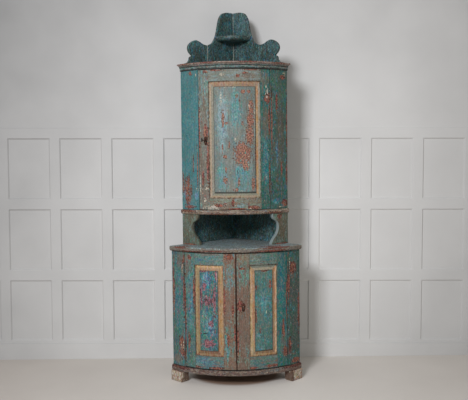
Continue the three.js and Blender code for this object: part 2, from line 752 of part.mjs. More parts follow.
for (const [side, name] of [[-1, 'left'], [1, 'right']]) {
  for (const [place, level] of Object.entries(lowerHingeLevels)) {
    const leaves = hinge(lowerRadius, level, -side);
    lowerCase.add(
      piece(`lower_${name}_${place}_hinge_door_leaf`, turned(leaves.door, side * lowerJointAngle), 'iron'),
      piece(`lower_${name}_${place}_hinge_case_leaf`, turned(leaves.frame, side * lowerJointAngle), 'iron'),
    );
  }
}

const counter = nosedBoard(
  lowerRadius + counterOverhang, counterLevel, counterTop - fit, counterLowerRound, counterUpperRound,
);
lowerCase.add(piece('counter_top', cut(counter, atLeafBolt(leftBolt.socket)), 'counterBlue'));

// Upper case, whose heights start at the counter top
const upperCase = new THREE.Group();
upperCase.position.z = counterTop;
const upperWallLength = wallLengthBehind(upperRadius);
const upperInner = upperRadius - frontThickness;

const upperShelfRadius = upperInner - shelfSetback;
const upperShelfLevels = upperShelfHeights.map((height) => waistTop + height);
const upperHousings = upperShelfLevels.map((level) => housedShelf(upperShelfRadius, level, fit));
const upperWall = crestOutline(upperWallLength);
const upperPlanks = [
  ['upper_back_left_inner', -1, leftWallStart, upperPlankJoint - fit],
  ['upper_back_left_outer', -1, upperPlankJoint, upperWallLength],
  ['upper_back_right_inner', 1, 0, upperPlankJoint - fit],
  ['upper_back_right_outer', 1, upperPlankJoint, upperWallLength],
];
for (const [name, side, from, to] of upperPlanks) {
  upperCase.add(piece(name, cut(wallBoard(side, upperWall, from, to), ...upperHousings), 'crestBlue'));
}
upperShelfLevels.forEach((level, i) => {
  upperCase.add(piece(`upper_shelf_${i + 1}`, housedShelf(upperShelfRadius, level, 0), 'insideBlue'));
});

const notched = (board, bottom, top) => cut(board, ...wallNotches(upperWallLength, bottom, top));
const waistBoard = nosedBoard(
  upperRadius + waistOverhang, nicheHeight, waistTop - fit, waistLowerRound, waistUpperRound,
);
const topBoard = plate(
  [corner(0, 0), ...arc(upperRadius, -quarter, quarter)], upperBodyTop, upperBodyTop + topBoardThickness,
);
upperCase.add(
  piece('waist_board', notched(waistBoard, nicheHeight, waistTop), 'moulding'),
  piece('upper_top_board', notched(topBoard, upperBodyTop, upperBodyTop + topBoardThickness), 'insideBlue'),
  piece('cornice', sweep(corniceProfile(), -quarter, quarter), 'moulding'),
);
for (const [side, name] of [[-1, 'left'], [1, 'right']]) {
  const cheekEdges = [side * quarter, side * (quarter - (cheekWidth + overrun) / upperRadius)].sort((a, b) => a - b);
  const cheek = curvedBoard(upperInner, upperRadius, ...cheekEdges, 0, nicheHeight - fit);
  const stileEdges = [side * quarter, side * (upperJointAngle + jointHalfGap / upperRadius)].sort((a, b) => a - b);
  const stile = curvedBoard(upperInner, upperRadius, ...stileEdges, waistTop, upperBodyTop - fit);
  upperCase.add(
    piece(`niche_cheek_${name}`, cut(cheek, cheekWaste(side)), 'caseBlue'),
    piece(`upper_stile_${name}`, stile, 'caseBlue'),
  );
}

// Upper door, hinged on the right and locked on the left
const upperEdge = upperJointAngle - jointHalfGap / upperRadius;
const upperKeyholeAngle = upperKeyholeFromJoint / upperRadius - upperJointAngle;
const upperDoor = framedDoor({
  radius: upperRadius, from: -upperEdge, to: upperEdge, bottom: waistTop + doorGap, top: upperBodyTop - doorGap,
  fromStile: upperLockStile, toStile: upperHingeStile, topRail: upperTopRail, bottomRail: upperBottomRail,
  band: upperBand,
});
const upperLock = rimLock(upperRadius, upperCaseToEdge, upperCaseToField);
const upperKeyholeLevel = waistTop + upperKeyholeHeight;
const atUpperLock = (solid) => turned(solid, upperKeyholeAngle).translate([0, 0, upperKeyholeLevel]);
const lockStile = cut(upperDoor.fromStile, atUpperLock(upperLock.recess), atUpperLock(upperLock.keyway));
upperCase.add(
  piece('upper_door_lock_stile', lockStile, 'doorBlue'),
  piece('upper_door_hinge_stile', upperDoor.toStile, 'doorBlue'),
  piece('upper_door_top_rail', upperDoor.topRail, 'doorBlue'),
  piece('upper_door_bottom_rail', upperDoor.bottomRail, 'doorBlue'),
  piece('upper_door_panel', upperDoor.panel, 'fieldBlue'),
  piece('upper_lock_case', atUpperLock(upperLock.housing), 'iron'),
  piece('upper_lock_bolt', atUpperLock(upperLock.bolt), 'iron'),
  piece('upper_escutcheon', atUpperLock(escutcheon(upperRadius)), 'iron'),
  piece('upper_key', atUpperLock(key(upperRadius)), 'iron'),
);
const upperHingeLevels = { bottom: waistTop + upperHingeFromBottom, top: upperBodyTop - upperHingeFromTop };
for (const [place, level] of Object.entries(upperHingeLevels)) {
  const leaves = hinge(upperRadius, level, -1);
  upperCase.add(
    piece(`upper_${place}_hinge_door_leaf`, turned(leaves.door, upperJointAngle), 'iron'),
    piece(`upper_${place}_hinge_case_leaf`, turned(leaves.frame, upperJointAngle), 'iron'),
  );
}

// The small bow-fronted shelf in the crest
const crestShelfLevel = corniceTop + crestShelfHeight;
const crestShelfTop = crestShelfLevel + crestShelfThickness;
const crestShelfRoom = plate(
  betweenWalls(crestShelfRadius + overrun, wallThickness + fit), crestShelfLevel - overrun, crestShelfTop + overrun,
);
const crestShelf = nosedBoard(
  crestShelfRadius, crestShelfLevel, crestShelfTop, crestShelfLowerRound, crestShelfUpperRound,
).intersect(crestShelfRoom);
upperCase.add(piece('crest_shelf', crestShelf, 'crestBlue'));

// The whole, with the origin on the floor under the middle of its box
const cupboard = new THREE.Group();
cupboard.add(lowerCase, upperCase);
cupboard.position.y = (lowerRadius + counterOverhang) / 2;

export default cupboard;
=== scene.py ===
"""A painted bow-fronted corner cupboard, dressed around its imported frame.

Lengths in this file are millimetres and angles are degrees, until `Mesher` turns them into metres.
A place on the bow is given by its angle about the outer back corner, its radius and its height.
"""

import logging
import math
from dataclasses import dataclass, field, replace
from enum import Enum
from statistics import NormalDist
from typing import Callable, Sequence

import bpy
import numpy as np
from mathutils import Matrix, Vector
from numpy.typing import NDArray


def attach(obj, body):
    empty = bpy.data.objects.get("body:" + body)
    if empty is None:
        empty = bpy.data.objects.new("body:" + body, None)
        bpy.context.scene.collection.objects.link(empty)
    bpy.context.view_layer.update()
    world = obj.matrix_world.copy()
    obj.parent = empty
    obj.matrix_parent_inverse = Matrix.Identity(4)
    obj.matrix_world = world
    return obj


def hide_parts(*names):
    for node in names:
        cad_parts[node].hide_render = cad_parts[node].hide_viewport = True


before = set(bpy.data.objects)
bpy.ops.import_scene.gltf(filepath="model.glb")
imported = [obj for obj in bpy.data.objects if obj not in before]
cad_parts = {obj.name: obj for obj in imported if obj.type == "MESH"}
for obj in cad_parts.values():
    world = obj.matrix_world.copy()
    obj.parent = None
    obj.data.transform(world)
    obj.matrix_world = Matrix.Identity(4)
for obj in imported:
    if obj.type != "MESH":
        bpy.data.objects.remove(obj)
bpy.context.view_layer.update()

LOG = logging.getLogger("cupboard")

Array = NDArray[np.float64]
Socket = bpy.types.NodeSocket
NodeTree = bpy.types.NodeTree
Value = float | Socket
Colour = str | tuple[float, ...] | Socket
Triple = tuple[float, float, float]
Setting = Callable[[Array, Array, Array], Array]

METRE = 0.001
SHIFT = 286.5
WALL_ANGLE = 45.0
WALL_SLOPE = math.sqrt(0.5)
HAIR = 0.3

# The bowed boards' thickness, the painted bands' width, the gap above and below a door, half the gap at
# its joint, and the height of the counter, on which the upper case stands
BOARD = 24.0
BAND = 31.0
DOOR_GAP = 3.0
JOINT_HALF_GAP = 1.6
COUNTER_HIGH = 830.0


# Shapes


class Grain(Enum):
    """Which way the wood of a piece runs."""

    UP = "up"
    ACROSS = "across"


def stacked(x: Array, y: Array, z: Array) -> Array:
    """Points from their x, y and z, along a new last axis."""
    return np.stack(np.broadcast_arrays(x, y, z), axis=-1)


def place(angle: Array, radius: Array, height: Array) -> Array:
    """Points on the bow: x = r sin a, y = shift - r cos a, z = height.

    Args:
        angle: Angles about the corner, in degrees.
        radius: Distances from the corner's upright line.
        height: Heights above the floor.

    Returns:
        The points, with x, y and z along a new last axis.
    """
    turn = np.radians(angle)
    return stacked(radius * np.sin(turn), SHIFT - radius * np.cos(turn), height)


def against_walls(right: Array, left: Array, height: Array) -> Array:
    """Points from their distances along the right and the left wall: both walls stand at 45 degrees.

    Args:
        right: Distances along the right wall, from the corner.
        left: Distances along the left wall, from the corner.
        height: Heights above the floor.

    Returns:
        The points, with x, y and z along a new last axis.
    """
    return stacked((right - left) * WALL_SLOPE, SHIFT - (right + left) * WALL_SLOPE, height)


def wobble(values: Array, length: float, seed: int) -> Array:
    """A smooth uneven line between about -1 and 1: a sum of five sines with seeded lengths and phases.

    Args:
        values: Where the line is read.
        length: The longest wave.
        seed: What sets the phases.

    Returns:
        The line's height at each value.
    """
    random = np.random.default_rng(seed)
    waves = np.arange(1, 6)
    phases = random.uniform(0, 2 * np.pi, 5)
    sizes = random.uniform(0.6, 1.0, 5) / waves**0.7
    stretch = random.uniform(0.8, 1.25, 5)
    angles = np.asarray(values)[..., None] * (2 * np.pi * waves * stretch / length) + phases
    return (np.sin(angles) * sizes).sum(axis=-1) / 1.6


def smooth(share: Array) -> Array:
    """The smooth step t^2 (3 - 2 t) of a share that is first kept between 0 and 1."""
    held = np.clip(share, 0, 1)
    return held**2 * (3 - 2 * held)


def unit(vectors: Array) -> Array:
    """Vectors brought to length one."""
    return vectors / np.maximum(np.linalg.norm(vectors, axis=-1, keepdims=True), 1e-9)


def inset(rings: Array, distance: Array) -> Array:
    """Closed rings moved inwards, each point by n1 + n2 over 1 + n1.n2 of its two sides' inward normals.

    Args:
        rings: Points of counter-clockwise rings, shaped (m, n, 2).
        distance: How far in, one value for each ring.

    Returns:
        The moved rings.
    """
    ahead = unit(np.roll(rings, -1, axis=-2) - rings)
    behind = unit(rings - np.roll(rings, 1, axis=-2))
    turned = lambda side: np.stack([-side[..., 1], side[..., 0]], axis=-1)
    first, second = turned(behind), turned(ahead)
    spread = 1 + (first * second).sum(axis=-1, keepdims=True)
    return rings + np.asarray(distance)[:, None, None] * (first + second) / np.maximum(spread, 0.4)


def eased(corners: Array, ease: Array, steps: int) -> tuple[Array, Array]:
    """Corners of closed rings rounded by the quadratic curve (1-t)^2 A + 2t(1-t) P + t^2 C.

    Args:
        corners: Ring corners, shaped (m, k, 2).
        ease: How far along its sides each corner is rounded, shaped (m, k).
        steps: Chords in each rounded corner.

    Returns:
        The rounded rings, and for each point how near it is to an edge, from 0 to 1.
    """
    before = unit(np.roll(corners, 1, axis=1) - corners)
    after = unit(np.roll(corners, -1, axis=1) - corners)
    share = np.linspace(0, 1, steps + 1)[None, None, :, None]
    start = (corners + before * ease[..., None])[:, :, None]
    end = (corners + after * ease[..., None])[:, :, None]
    curve = (1 - share) ** 2 * start + 2 * share * (1 - share) * corners[:, :, None] + share**2 * end
    mark = np.tile(1 - 0.5 * np.abs(np.linspace(-1, 1, steps + 1)), corners.shape[1])
    return curve.reshape(len(corners), -1, 2), mark


def divided(rings: Array, mark: Array, spacing: float) -> tuple[Array, Array]:
    """Evenly spaced points put on every long side of closed rings, the same number on each ring.

    Args:
        rings: Points of the rings, shaped (m, n, 2).
        mark: Nearness to an edge, one value for each point.
        spacing: The longest side that is left.

    Returns:
        The rings and marks with the new points, whose marks are 0.
    """
    ahead = np.roll(rings, -1, axis=1)
    length = np.linalg.norm(ahead - rings, axis=-1).mean(axis=0)
    counts = np.maximum(1, np.ceil(length / spacing)).astype(int)
    owner = np.repeat(np.arange(rings.shape[1]), counts)
    first = np.repeat(np.cumsum(counts) - counts, counts)
    share = (np.arange(len(owner)) - first) / np.repeat(counts, counts)
    points = rings[:, owner] * (1 - share)[None, :, None] + ahead[:, owner] * share[None, :, None]
    return points, np.where(share == 0, mark[owner], 0.0)


def smooth_curve(points: Sequence[tuple[float, float]], count: int) -> Array:
    """A Catmull-Rom curve through points, evenly stepped.

    Args:
        points: The points, in order.
        count: Number of steps.

    Returns:
        The curve's points, shaped (count + 1, 2).
    """
    knots = np.asarray(points, dtype=float)
    knots = np.vstack([knots[:1], knots, knots[-1:]])
    at = np.linspace(0, len(points) - 1, count + 1)
    cell = np.minimum(at.astype(int), len(points) - 2)
    t = (at - cell)[:, None]
    a, b, c, d = (knots[cell + i] for i in range(4))
    return 0.5 * (2 * b + (c - a) * t + (2 * a - 5 * b + 4 * c - d) * t**2 + (3 * b - a - 3 * c + d) * t**3)


def rounded(centre: tuple[float, float], radius: float, start: float, end: float, steps: int = 8) -> Array:
    """An arc of a profile about a centre, between two angles in degrees."""
    turn = np.radians(np.linspace(start, end, steps + 1))
    return np.stack([centre[0] + radius * np.cos(turn), centre[1] + radius * np.sin(turn)], axis=-1)


@dataclass
class Shell:
    """A closed surface in millimetres: points, faces as tuples of indices, and nearness to an edge."""

    points: Array
    faces: list[tuple[int, ...]]
    edge: Array

    def outward(self) -> "Shell":
        """The shell with its faces turned outwards, judged by the sign of its volume."""
        fans = [(f[0], f[i], f[i + 1]) for f in self.faces for i in range(1, len(f) - 1)]
        a, b, c = (self.points[np.array(fans)[:, i]] for i in range(3))
        volume = (a * np.cross(b, c)).sum()
        if volume < 0:
            return Shell(self.points, [f[::-1] for f in self.faces], self.edge)
        return self


def joined(shells: Sequence[Shell]) -> Shell:
    """Several shells as one list of points and faces."""
    starts = np.cumsum([0] + [len(s.points) for s in shells[:-1]])
    faces = [tuple(int(i + start) for i in f) for s, start in zip(shells, starts) for f in s.faces]
    return Shell(np.vstack([s.points for s in shells]), faces, np.concatenate([s.edge for s in shells]))


def quads(rows: int, columns: int, wrap_rows: bool, wrap_columns: bool) -> list[tuple[int, ...]]:
    """The faces of a grid of points, closed on itself where asked.

    Args:
        rows: Grid rows.
        columns: Grid columns.
        wrap_rows: Whether the last row joins the first.
        wrap_columns: Whether the last column joins the first.

    Returns:
        Four indices for each face.
    """
    i = np.arange(rows if wrap_rows else rows - 1)[:, None]
    j = np.arange(columns if wrap_columns else columns - 1)[None, :]
    i2, j2 = (i + 1) % rows, (j + 1) % columns
    corners = [i * columns + j, i * columns + j2, i2 * columns + j2, i2 * columns + j]
    return [tuple(f) for f in np.stack([c.ravel() for c in np.broadcast_arrays(*corners)], axis=-1).tolist()]


def loft(rings: Array, edge: Array, ring_closed: bool = False) -> Shell:
    """Rings joined one to the next: points P(i, j), with flat caps at both ends unless the path is closed.

    Args:
        rings: Points, shaped (m, n, 3).
        edge: Nearness to an edge, shaped (m, n).
        ring_closed: Whether the last ring joins the first.

    Returns:
        The closed shell.
    """
    rows, columns = rings.shape[:2]
    faces = quads(rows, columns, ring_closed, True)
    if not ring_closed:
        faces.append(tuple(range(columns - 1, -1, -1)))
        faces.append(tuple(range((rows - 1) * columns, rows * columns)))
    return Shell(rings.reshape(-1, 3), faces, edge.ravel()).outward()


def two_sided(front: Array, back: Array, edge: Array) -> Shell:
    """A front and a back sheet, P(u, v) and Q(u, v), joined all round their rims.

    Args:
        front: Points of the front, shaped (m, n, 3).
        back: Points of the back, shaped alike.
        edge: Nearness to an edge, shaped (m, n).

    Returns:
        The closed shell.
    """
    rows, columns = front.shape[:2]
    count = rows * columns
    sheet = quads(rows, columns, False, False)
    index = np.arange(count).reshape(rows, columns)
    rim = np.concatenate([index[0, :-1], index[:-1, -1], index[-1, :0:-1], index[:0:-1, 0]])
    ahead = np.roll(rim, -1)
    faces = [f[::-1] for f in sheet] + [tuple(i + count for i in f) for f in sheet]
    faces += np.stack([rim, ahead, ahead + count, rim + count], axis=-1).tolist()
    points = np.vstack([front.reshape(-1, 3), back.reshape(-1, 3)])
    shell = Shell(points, [tuple(f) for f in faces], np.concatenate([edge.ravel(), edge.ravel()]))
    return shell.outward()


@dataclass(frozen=True)
class Wear:
    """How the edges of a board have worn: their rounding, its unevenness and how long its waves are."""

    ease: float = 1.6
    uneven: float = 0.6
    wave: float = 170.0
    end: float = 1.2
    seed: int = 1


def stations(low: float, high: float, end: float, spacing: float) -> tuple[Array, Array]:
    """Places along a board, close together at its ends, and how far each ring is drawn in there.

    The ends are quarter rounds: a ring at distance d from the end is drawn in by e - sqrt(e^2 - (e - d)^2).

    Args:
        low: Where the board starts.
        high: Where it ends.
        end: Radius of the ends' rounding.
        spacing: The longest step between.

    Returns:
        The places and the amounts.
    """
    near = end * (1 - np.cos(np.linspace(0, np.pi / 2, 4)))
    count = max(2, int(np.ceil((high - low - 2 * end) / spacing)) + 1)
    along = np.concatenate([low + near, np.linspace(low + end, high - end, count)[1:-1], high - near[::-1]])
    reach = end - np.minimum(np.minimum(along - low, high - along), end)
    return along, end - np.sqrt(np.maximum(end**2 - reach**2, 0))


def carried(corners: Array, low: float, high: float, wear: Wear, to_place: Setting, spacing: float = 9.0,
            sharp: Sequence[int] = ()) -> Shell:
    """A section with worn corners, carried along a board: ring i is the eased section at station i.

    Args:
        corners: Corners of the section, counter-clockwise, shaped (k, 2).
        low: Where the board starts.
        high: Where it ends.
        wear: How its edges have worn.
        to_place: Turns section x, section y and station into points.
        spacing: The longest side of a face.
        sharp: Corners that stay nearly square.

    Returns:
        The closed shell.
    """
    along, drawn = stations(low, high, wear.end, spacing)
    count = len(corners)
    seeds = wear.seed * 31 + np.arange(count)
    uneven = np.stack([wobble(along, wear.wave, int(s)) for s in seeds], axis=1)
    nick = np.maximum(0, np.stack([wobble(along, wear.wave / 4, int(s) + 900) for s in seeds], axis=1) - 0.75)
    ease = wear.ease * np.clip(1 + wear.uneven * uneven + 2.2 * nick, 0.35, 2.6)
    if len(sharp):
        ease[:, list(sharp)] = 0.25
    rings = np.repeat(corners[None], len(along), axis=0)
    rings, mark = eased(inset(rings, drawn), ease, 4)
    rings, mark = divided(rings, mark, spacing)
    at_ends = np.clip(1 - np.minimum(along - low, high - along) / 3.0, 0, 1)
    edge = np.maximum(mark[None, :], at_ends[:, None])
    return loft(to_place(rings[..., 0], rings[..., 1], along[:, None]), edge)


def upright(radius: float) -> Setting:
    """Places a section of distance along the bow and radius, carried upwards."""
    return lambda across, out, up: place(np.degrees(across / radius), out, up)


def box_section(x0: float, x1: float, y0: float, y1: float) -> Array:
    """The four corners of a section, counter-clockwise."""
    return np.array([[x0, y0], [x1, y0], [x1, y1], [x0, y1]], dtype=float)


def bent_rail(radius: float, start: float, end: float, low: float, high: float, wear: Wear) -> Shell:
    """A board along the bow: its section of radius and height is carried from one angle to another.

    Args:
        radius: Radius of its face.
        start: First angle, in degrees.
        end: Last angle, in degrees.
        low: Its lower edge.
        high: Its upper edge.
        wear: How its edges have worn.

    Returns:
        The closed shell.
    """
    scale = math.radians(1) * radius
    return carried(
        box_section(radius - BOARD, radius, low, high), start * scale, end * scale, wear,
        lambda out, up, along: place(along / scale, out, up),
    )


def case_stile(side: int, radius: float, joint: float, low: float, high: float, seed: int) -> Shell:
    """A curved upright of a case, from the gap beside its door out to the wall.

    Args:
        side: -1 for the left one, 1 for the right one.
        radius: Radius of its face.
        joint: Angle of the joint between it and the door.
        low: Its foot.
        high: The underside of the board on it.
        seed: What sets its wear.

    Returns:
        The closed shell.
    """
    scale = math.radians(1) * radius
    start, end = sorted((side * WALL_ANGLE * scale, side * (joint * scale + JOINT_HALF_GAP)))
    corners = box_section(start, end, radius - BOARD, radius)
    return carried(corners, low, high - HAIR, Wear(2.0, seed=seed), upright(radius), 8.0, (0, 1))


def sawn(outline: Array, near: float, far: float, ease: float, to_place: Setting) -> Shell:
    """An outline carried through a board's thickness, with its edges eased on both faces.

    Args:
        outline: Points of the outline, counter-clockwise, shaped (n, 2).
        near: One face.
        far: The other face.
        ease: How far its edges are eased.
        to_place: Turns outline x, outline y and depth into points.

    Returns:
        The closed shell.
    """
    turn = np.linspace(0, np.pi / 2, 4)
    inner = np.concatenate([[ease + 5.0], ease * (1 - np.sin(turn))])
    deep = np.concatenate([[0.0], ease * (1 - np.cos(turn))])
    drawn = np.concatenate([inner, inner[::-1]])
    depth = np.concatenate([near + deep, far - deep[::-1]])
    rings = inset(np.repeat(outline[None], len(depth), axis=0), drawn)
    mark = np.concatenate([[0.0], np.linspace(0.5, 0.9, 4)])
    edge = np.repeat(np.concatenate([mark, mark[::-1]])[:, None], len(outline), axis=1)
    return loft(to_place(rings[..., 0], rings[..., 1], depth[:, None]), edge)


def turned_round(profile: Array, sides: int, to_place: Callable[[Array], Array]) -> Shell:
    """A profile of radius and height turned round its own upright axis: P(i, j) = (r cos t, r sin t, h).

    Args:
        profile: Radius and height, from one end to the other.
        sides: Steps round the axis.
        to_place: Turns local points into points on the part.

    Returns:
        The closed shell.
    """
    turn = np.linspace(0, 2 * np.pi, sides, endpoint=False)
    radius, height = profile[:, :1], profile[:, 1:]
    local = stacked(radius * np.cos(turn), radius * np.sin(turn), height)
    return loft(to_place(local), np.full(local.shape[:2], 0.2))


def at_bow(angle: float, radius: float, height: float) -> Callable[[Array], Array]:
    """Sets local points on the bow: local x runs along it, local y out of it and local z up.

    Args:
        angle: Where on the bow, in degrees.
        radius: Distance of the local origin from the corner.
        height: Height of the local origin.

    Returns:
        The function that places points.
    """
    turn = math.radians(angle)
    along = np.array([math.cos(turn), math.sin(turn), 0.0])
    out = np.array([math.sin(turn), -math.cos(turn), 0.0])
    origin = np.array([0.0, SHIFT, height]) + out * radius
    axes = np.array([along, out, [0.0, 0.0, 1.0]])
    return lambda local: origin + local @ axes


# Materials


def linear(colour: str) -> tuple[float, float, float, float]:
    """An sRGB hex colour as linear light: (c/12.92) below 0.04045, else ((c+0.055)/1.055)^2.4.

    Args:
        colour: Six hex digits after a hash.

    Returns:
        Red, green, blue and an alpha of one.
    """
    parts = [int(colour[i:i + 2], 16) / 255 for i in (1, 3, 5)]
    red, green, blue = (c / 12.92 if c <= 0.04045 else ((c + 0.055) / 1.055) ** 2.4 for c in parts)
    return red, green, blue, 1.0


def shade(colour: str, share: float) -> str:
    """A hex colour made lighter or darker by a share."""
    parts = [min(255, round(int(colour[i:i + 2], 16) * share)) for i in (1, 3, 5)]
    return "#" + "".join(f"{p:02x}" for p in parts)


class Graph:
    """A shader tree, with a short call for each kind of step that the materials are made of."""

    def __init__(self, tree: NodeTree) -> None:
        """Keeps the tree and empties it."""
        self.tree = tree
        tree.nodes.clear()

    def node(self, kind: str, inputs: dict | None = None, **settings: object) -> bpy.types.Node:
        """Adds one node with its settings and links.

        Args:
            kind: The node's type, without the words ShaderNode in front.
            inputs: Values or sockets, by input name or number.
            **settings: The node's own settings.

        Returns:
            The node.
        """
        node = self.tree.nodes.new(kind if kind.startswith("Node") else f"ShaderNode{kind}")
        for name, value in settings.items():
            setattr(node, name, value)
        for name, value in (inputs or {}).items():
            if isinstance(value, bpy.types.NodeSocket):
                self.tree.links.new(value, node.inputs[name])
            else:
                node.inputs[name].default_value = value
        return node

    def add(self, kind: str, inputs: dict | None = None, out: str | int = 0, **settings: object) -> Socket:
        """Adds one node and gives one of its outputs."""
        return self.node(kind, inputs, **settings).outputs[out]

    def math(self, operation: str, first: Value, second: Value = 0.0) -> Socket:
        """One sum of one or two numbers."""
        return self.add("Math", {0: first, 1: second}, operation=operation)

    def times(self, value: Value, share: Value, more: Value = 0.0) -> Socket:
        """A value times a share, plus more."""
        return self.add("Math", {0: value, 1: share, 2: more}, operation="MULTIPLY_ADD")

    def step(self, value: Value, low: float, high: float) -> Socket:
        """A smooth step from 0 at the low value to 1 at the high one."""
        return self.add("MapRange", {0: value, 1: low, 2: high}, interpolation_type="SMOOTHSTEP")

    def ramp(self, value: Value, low: float, high: float, first: float, last: float) -> Socket:
        """A straight ramp from the first value at low to the last one at high."""
        return self.add("MapRange", {0: value, 1: low, 2: high, 3: first, 4: last})

    def mix(self, share: Value, first: Colour, second: Colour) -> Socket:
        """Two colours mixed, where a hex word stands for its colour."""
        first, second = (linear(c) if isinstance(c, str) else c for c in (first, second))
        return self.add("Mix", {0: share, 6: first, 7: second}, out=2, data_type="RGBA")

    def between(self, first: Colour, last: Colour, value: Value, low: float, high: float) -> Socket:
        """The first colour where a value is under low, and the last one where it is over high."""
        return self.mix(self.step(value, low, high), first, last)

    def toward(self, colour: Colour, tint: Colour, most: Value, value: Value, low: float,
               high: float) -> Socket:
        """A colour with a tint over it, from none where a value is at low to the most where it is at high."""
        return self.mix(self.times(self.step(value, low, high), most), colour, tint)

    def hue(self, colour: Socket, hue: Value, saturation: Value, value: Value) -> Socket:
        """A colour with its hue, saturation and value changed."""
        inputs = {"Hue": hue, "Saturation": saturation, "Value": value, "Color": colour}
        return self.add("HueSaturation", inputs)

    def millimetres(self) -> Socket:
        """Object coordinates in millimetres."""
        whole = self.add("TexCoord", out="Object")
        return self.add("VectorMath", {0: whole, 3: 1 / METRE}, operation="SCALE")

    def noise(self, vector: Socket, size: Triple, detail: float, rough: float, shift: float) -> Socket:
        """Noise whose grain has real sizes.

        Args:
            vector: Place in millimetres.
            size: Grain size in millimetres in the place's three directions.
            detail: Octaves.
            rough: How strong the finer octaves are.
            shift: Moves the pattern, so that no two are alike.

        Returns:
            The noise value.
        """
        move = (shift, shift * 0.7, shift * 1.3)
        settings = {0: vector, "Location": move, "Scale": tuple(1 / s for s in size)}
        inputs = {"Vector": self.add("Mapping", settings), "Scale": 1.0, "Detail": detail, "Roughness": rough}
        return self.add("TexNoise", inputs, out="Fac")

    def surface(self, relief: tuple[float, float, Socket], inputs: dict) -> None:
        """Ends a material with a Principled shader.

        Args:
            relief: The bump's strength, its depth in millimetres and its height.
            inputs: The shader's other values and links.
        """
        strength, depth, height = relief
        settings = {"Strength": strength, "Distance": depth * METRE, "Height": height}
        bump = self.add("Bump", settings, out="Normal")
        self.node("OutputMaterial", {"Surface": self.add("BsdfPrincipled", {**inputs, "Normal": bump})})


def new_material(name: str) -> tuple[bpy.types.Material, Graph]:
    """An empty material and its graph."""
    material = bpy.data.materials.new(name)
    material.use_nodes = True
    return material, Graph(material.node_tree)


def new_group(name: str, inputs: Sequence[str], outputs: Sequence[str]) -> tuple[Graph, Sequence[Socket]]:
    """A node group of plain numbers in and out.

    Args:
        name: The group's name.
        inputs: Names of its numbers in.
        outputs: Names of its numbers out.

    Returns:
        The group's graph, and the sockets of its numbers in.
    """
    graph = Graph(bpy.data.node_groups.new(name, "ShaderNodeTree"))
    for names, way in ((inputs, "INPUT"), (outputs, "OUTPUT")):
        for item in names:
            graph.tree.interface.new_socket(item, in_out=way, socket_type="NodeSocketFloat")
    return graph, graph.node("NodeGroupInput").outputs


def bow_place() -> NodeTree:
    """The group that turns Object coordinates into angle in degrees, and distance out and height in mm."""
    graph, _ = new_group("bow_place", (), ("Angle", "Out", "Up"))
    parts = graph.node("SeparateXYZ", {0: graph.millimetres()}).outputs
    depth = graph.math("SUBTRACT", SHIFT, parts["Y"])
    turn = graph.math("ARCTAN2", parts["X"], depth)
    plan = graph.add("CombineXYZ", {0: parts["X"], 1: depth})
    out = graph.add("VectorMath", {0: plan}, out="Value", operation="LENGTH")
    graph.node("NodeGroupOutput", {"Angle": graph.math("DEGREES", turn), "Out": out, "Up": parts["Z"]})
    return graph.tree


def worn_place() -> NodeTree:
    """The group that makes a ragged oval: 1 inside and 0 outside, with its rim moved by an uneven value."""
    names = ("Angle", "Out", "Up", "Ragged", "At", "Height", "Across", "Rise")
    graph, given = new_group("worn_place", names, ("Mask",))
    turn = graph.math("RADIANS", graph.math("SUBTRACT", given["Angle"], given["At"]))
    side = graph.math("DIVIDE", graph.math("MULTIPLY", turn, given["Out"]), given["Across"])
    tall = graph.math("DIVIDE", graph.math("SUBTRACT", given["Up"], given["Height"]), given["Rise"])
    plan = graph.add("CombineXYZ", {0: side, 1: tall})
    far = graph.add("VectorMath", {0: plan}, out="Value", operation="LENGTH")
    ragged = graph.times(given["Ragged"], 4.0, far)
    oval = {0: ragged, 1: 2.7, 2: 3.2, 3: 1.0, 4: 0.0}
    graph.node("NodeGroupOutput", {"Mask": graph.add("MapRange", oval, interpolation_type="SMOOTHSTEP")})
    return graph.tree


class Layer(Enum):
    """What shows at a marked place: a worn-through layer, or dark paint for stains, joints and painted shade.
    """

    RED = "red"
    CREAM = "cream"
    TINT = "tint"
    SECOND = "second"
    RUBBED = "rubbed"
    DARK = "dark"


@dataclass(frozen=True)
class Place:
    """A marked place on the bow, of wear or of painted shade: what shows, its angle and height, and its half
    width and half height.
    """

    shows: Layer
    angle: float
    height: float
    across: float
    rise: float


def spots(**rows: Sequence[tuple[float, float, float, float]]) -> tuple[Place, ...]:
    """Marked places of wear and painted shade, listed by the layer that shows: each has angle, height, half
    width and half height.
    """
    return tuple(Place(Layer(layer), *row) for layer, group in rows.items() for row in group)


@dataclass(frozen=True)
class Opening:
    """The opening in a door's frame: first and last angle, lower and upper edge, radius and band width."""

    start: float
    end: float
    low: float
    high: float
    radius: float
    band: float


@dataclass(frozen=True)
class Band:
    """The colours of the painted band round a panel.

    Each side has a colour beside the frame, a second one towards the field, and a width of painted shade in
    the
    hollow at the foot of the field: the step's shadow, widest on the sides turned from the light.
    """

    left: tuple[str, str, float]
    right: tuple[str, str, float]
    top: tuple[str, str, float]
    bottom: tuple[str, str, float]
    joint: str = "#4c382b"
    # Painted shade: the colour of the step's shadow in the hollow
    hollow: str = "#33312a"


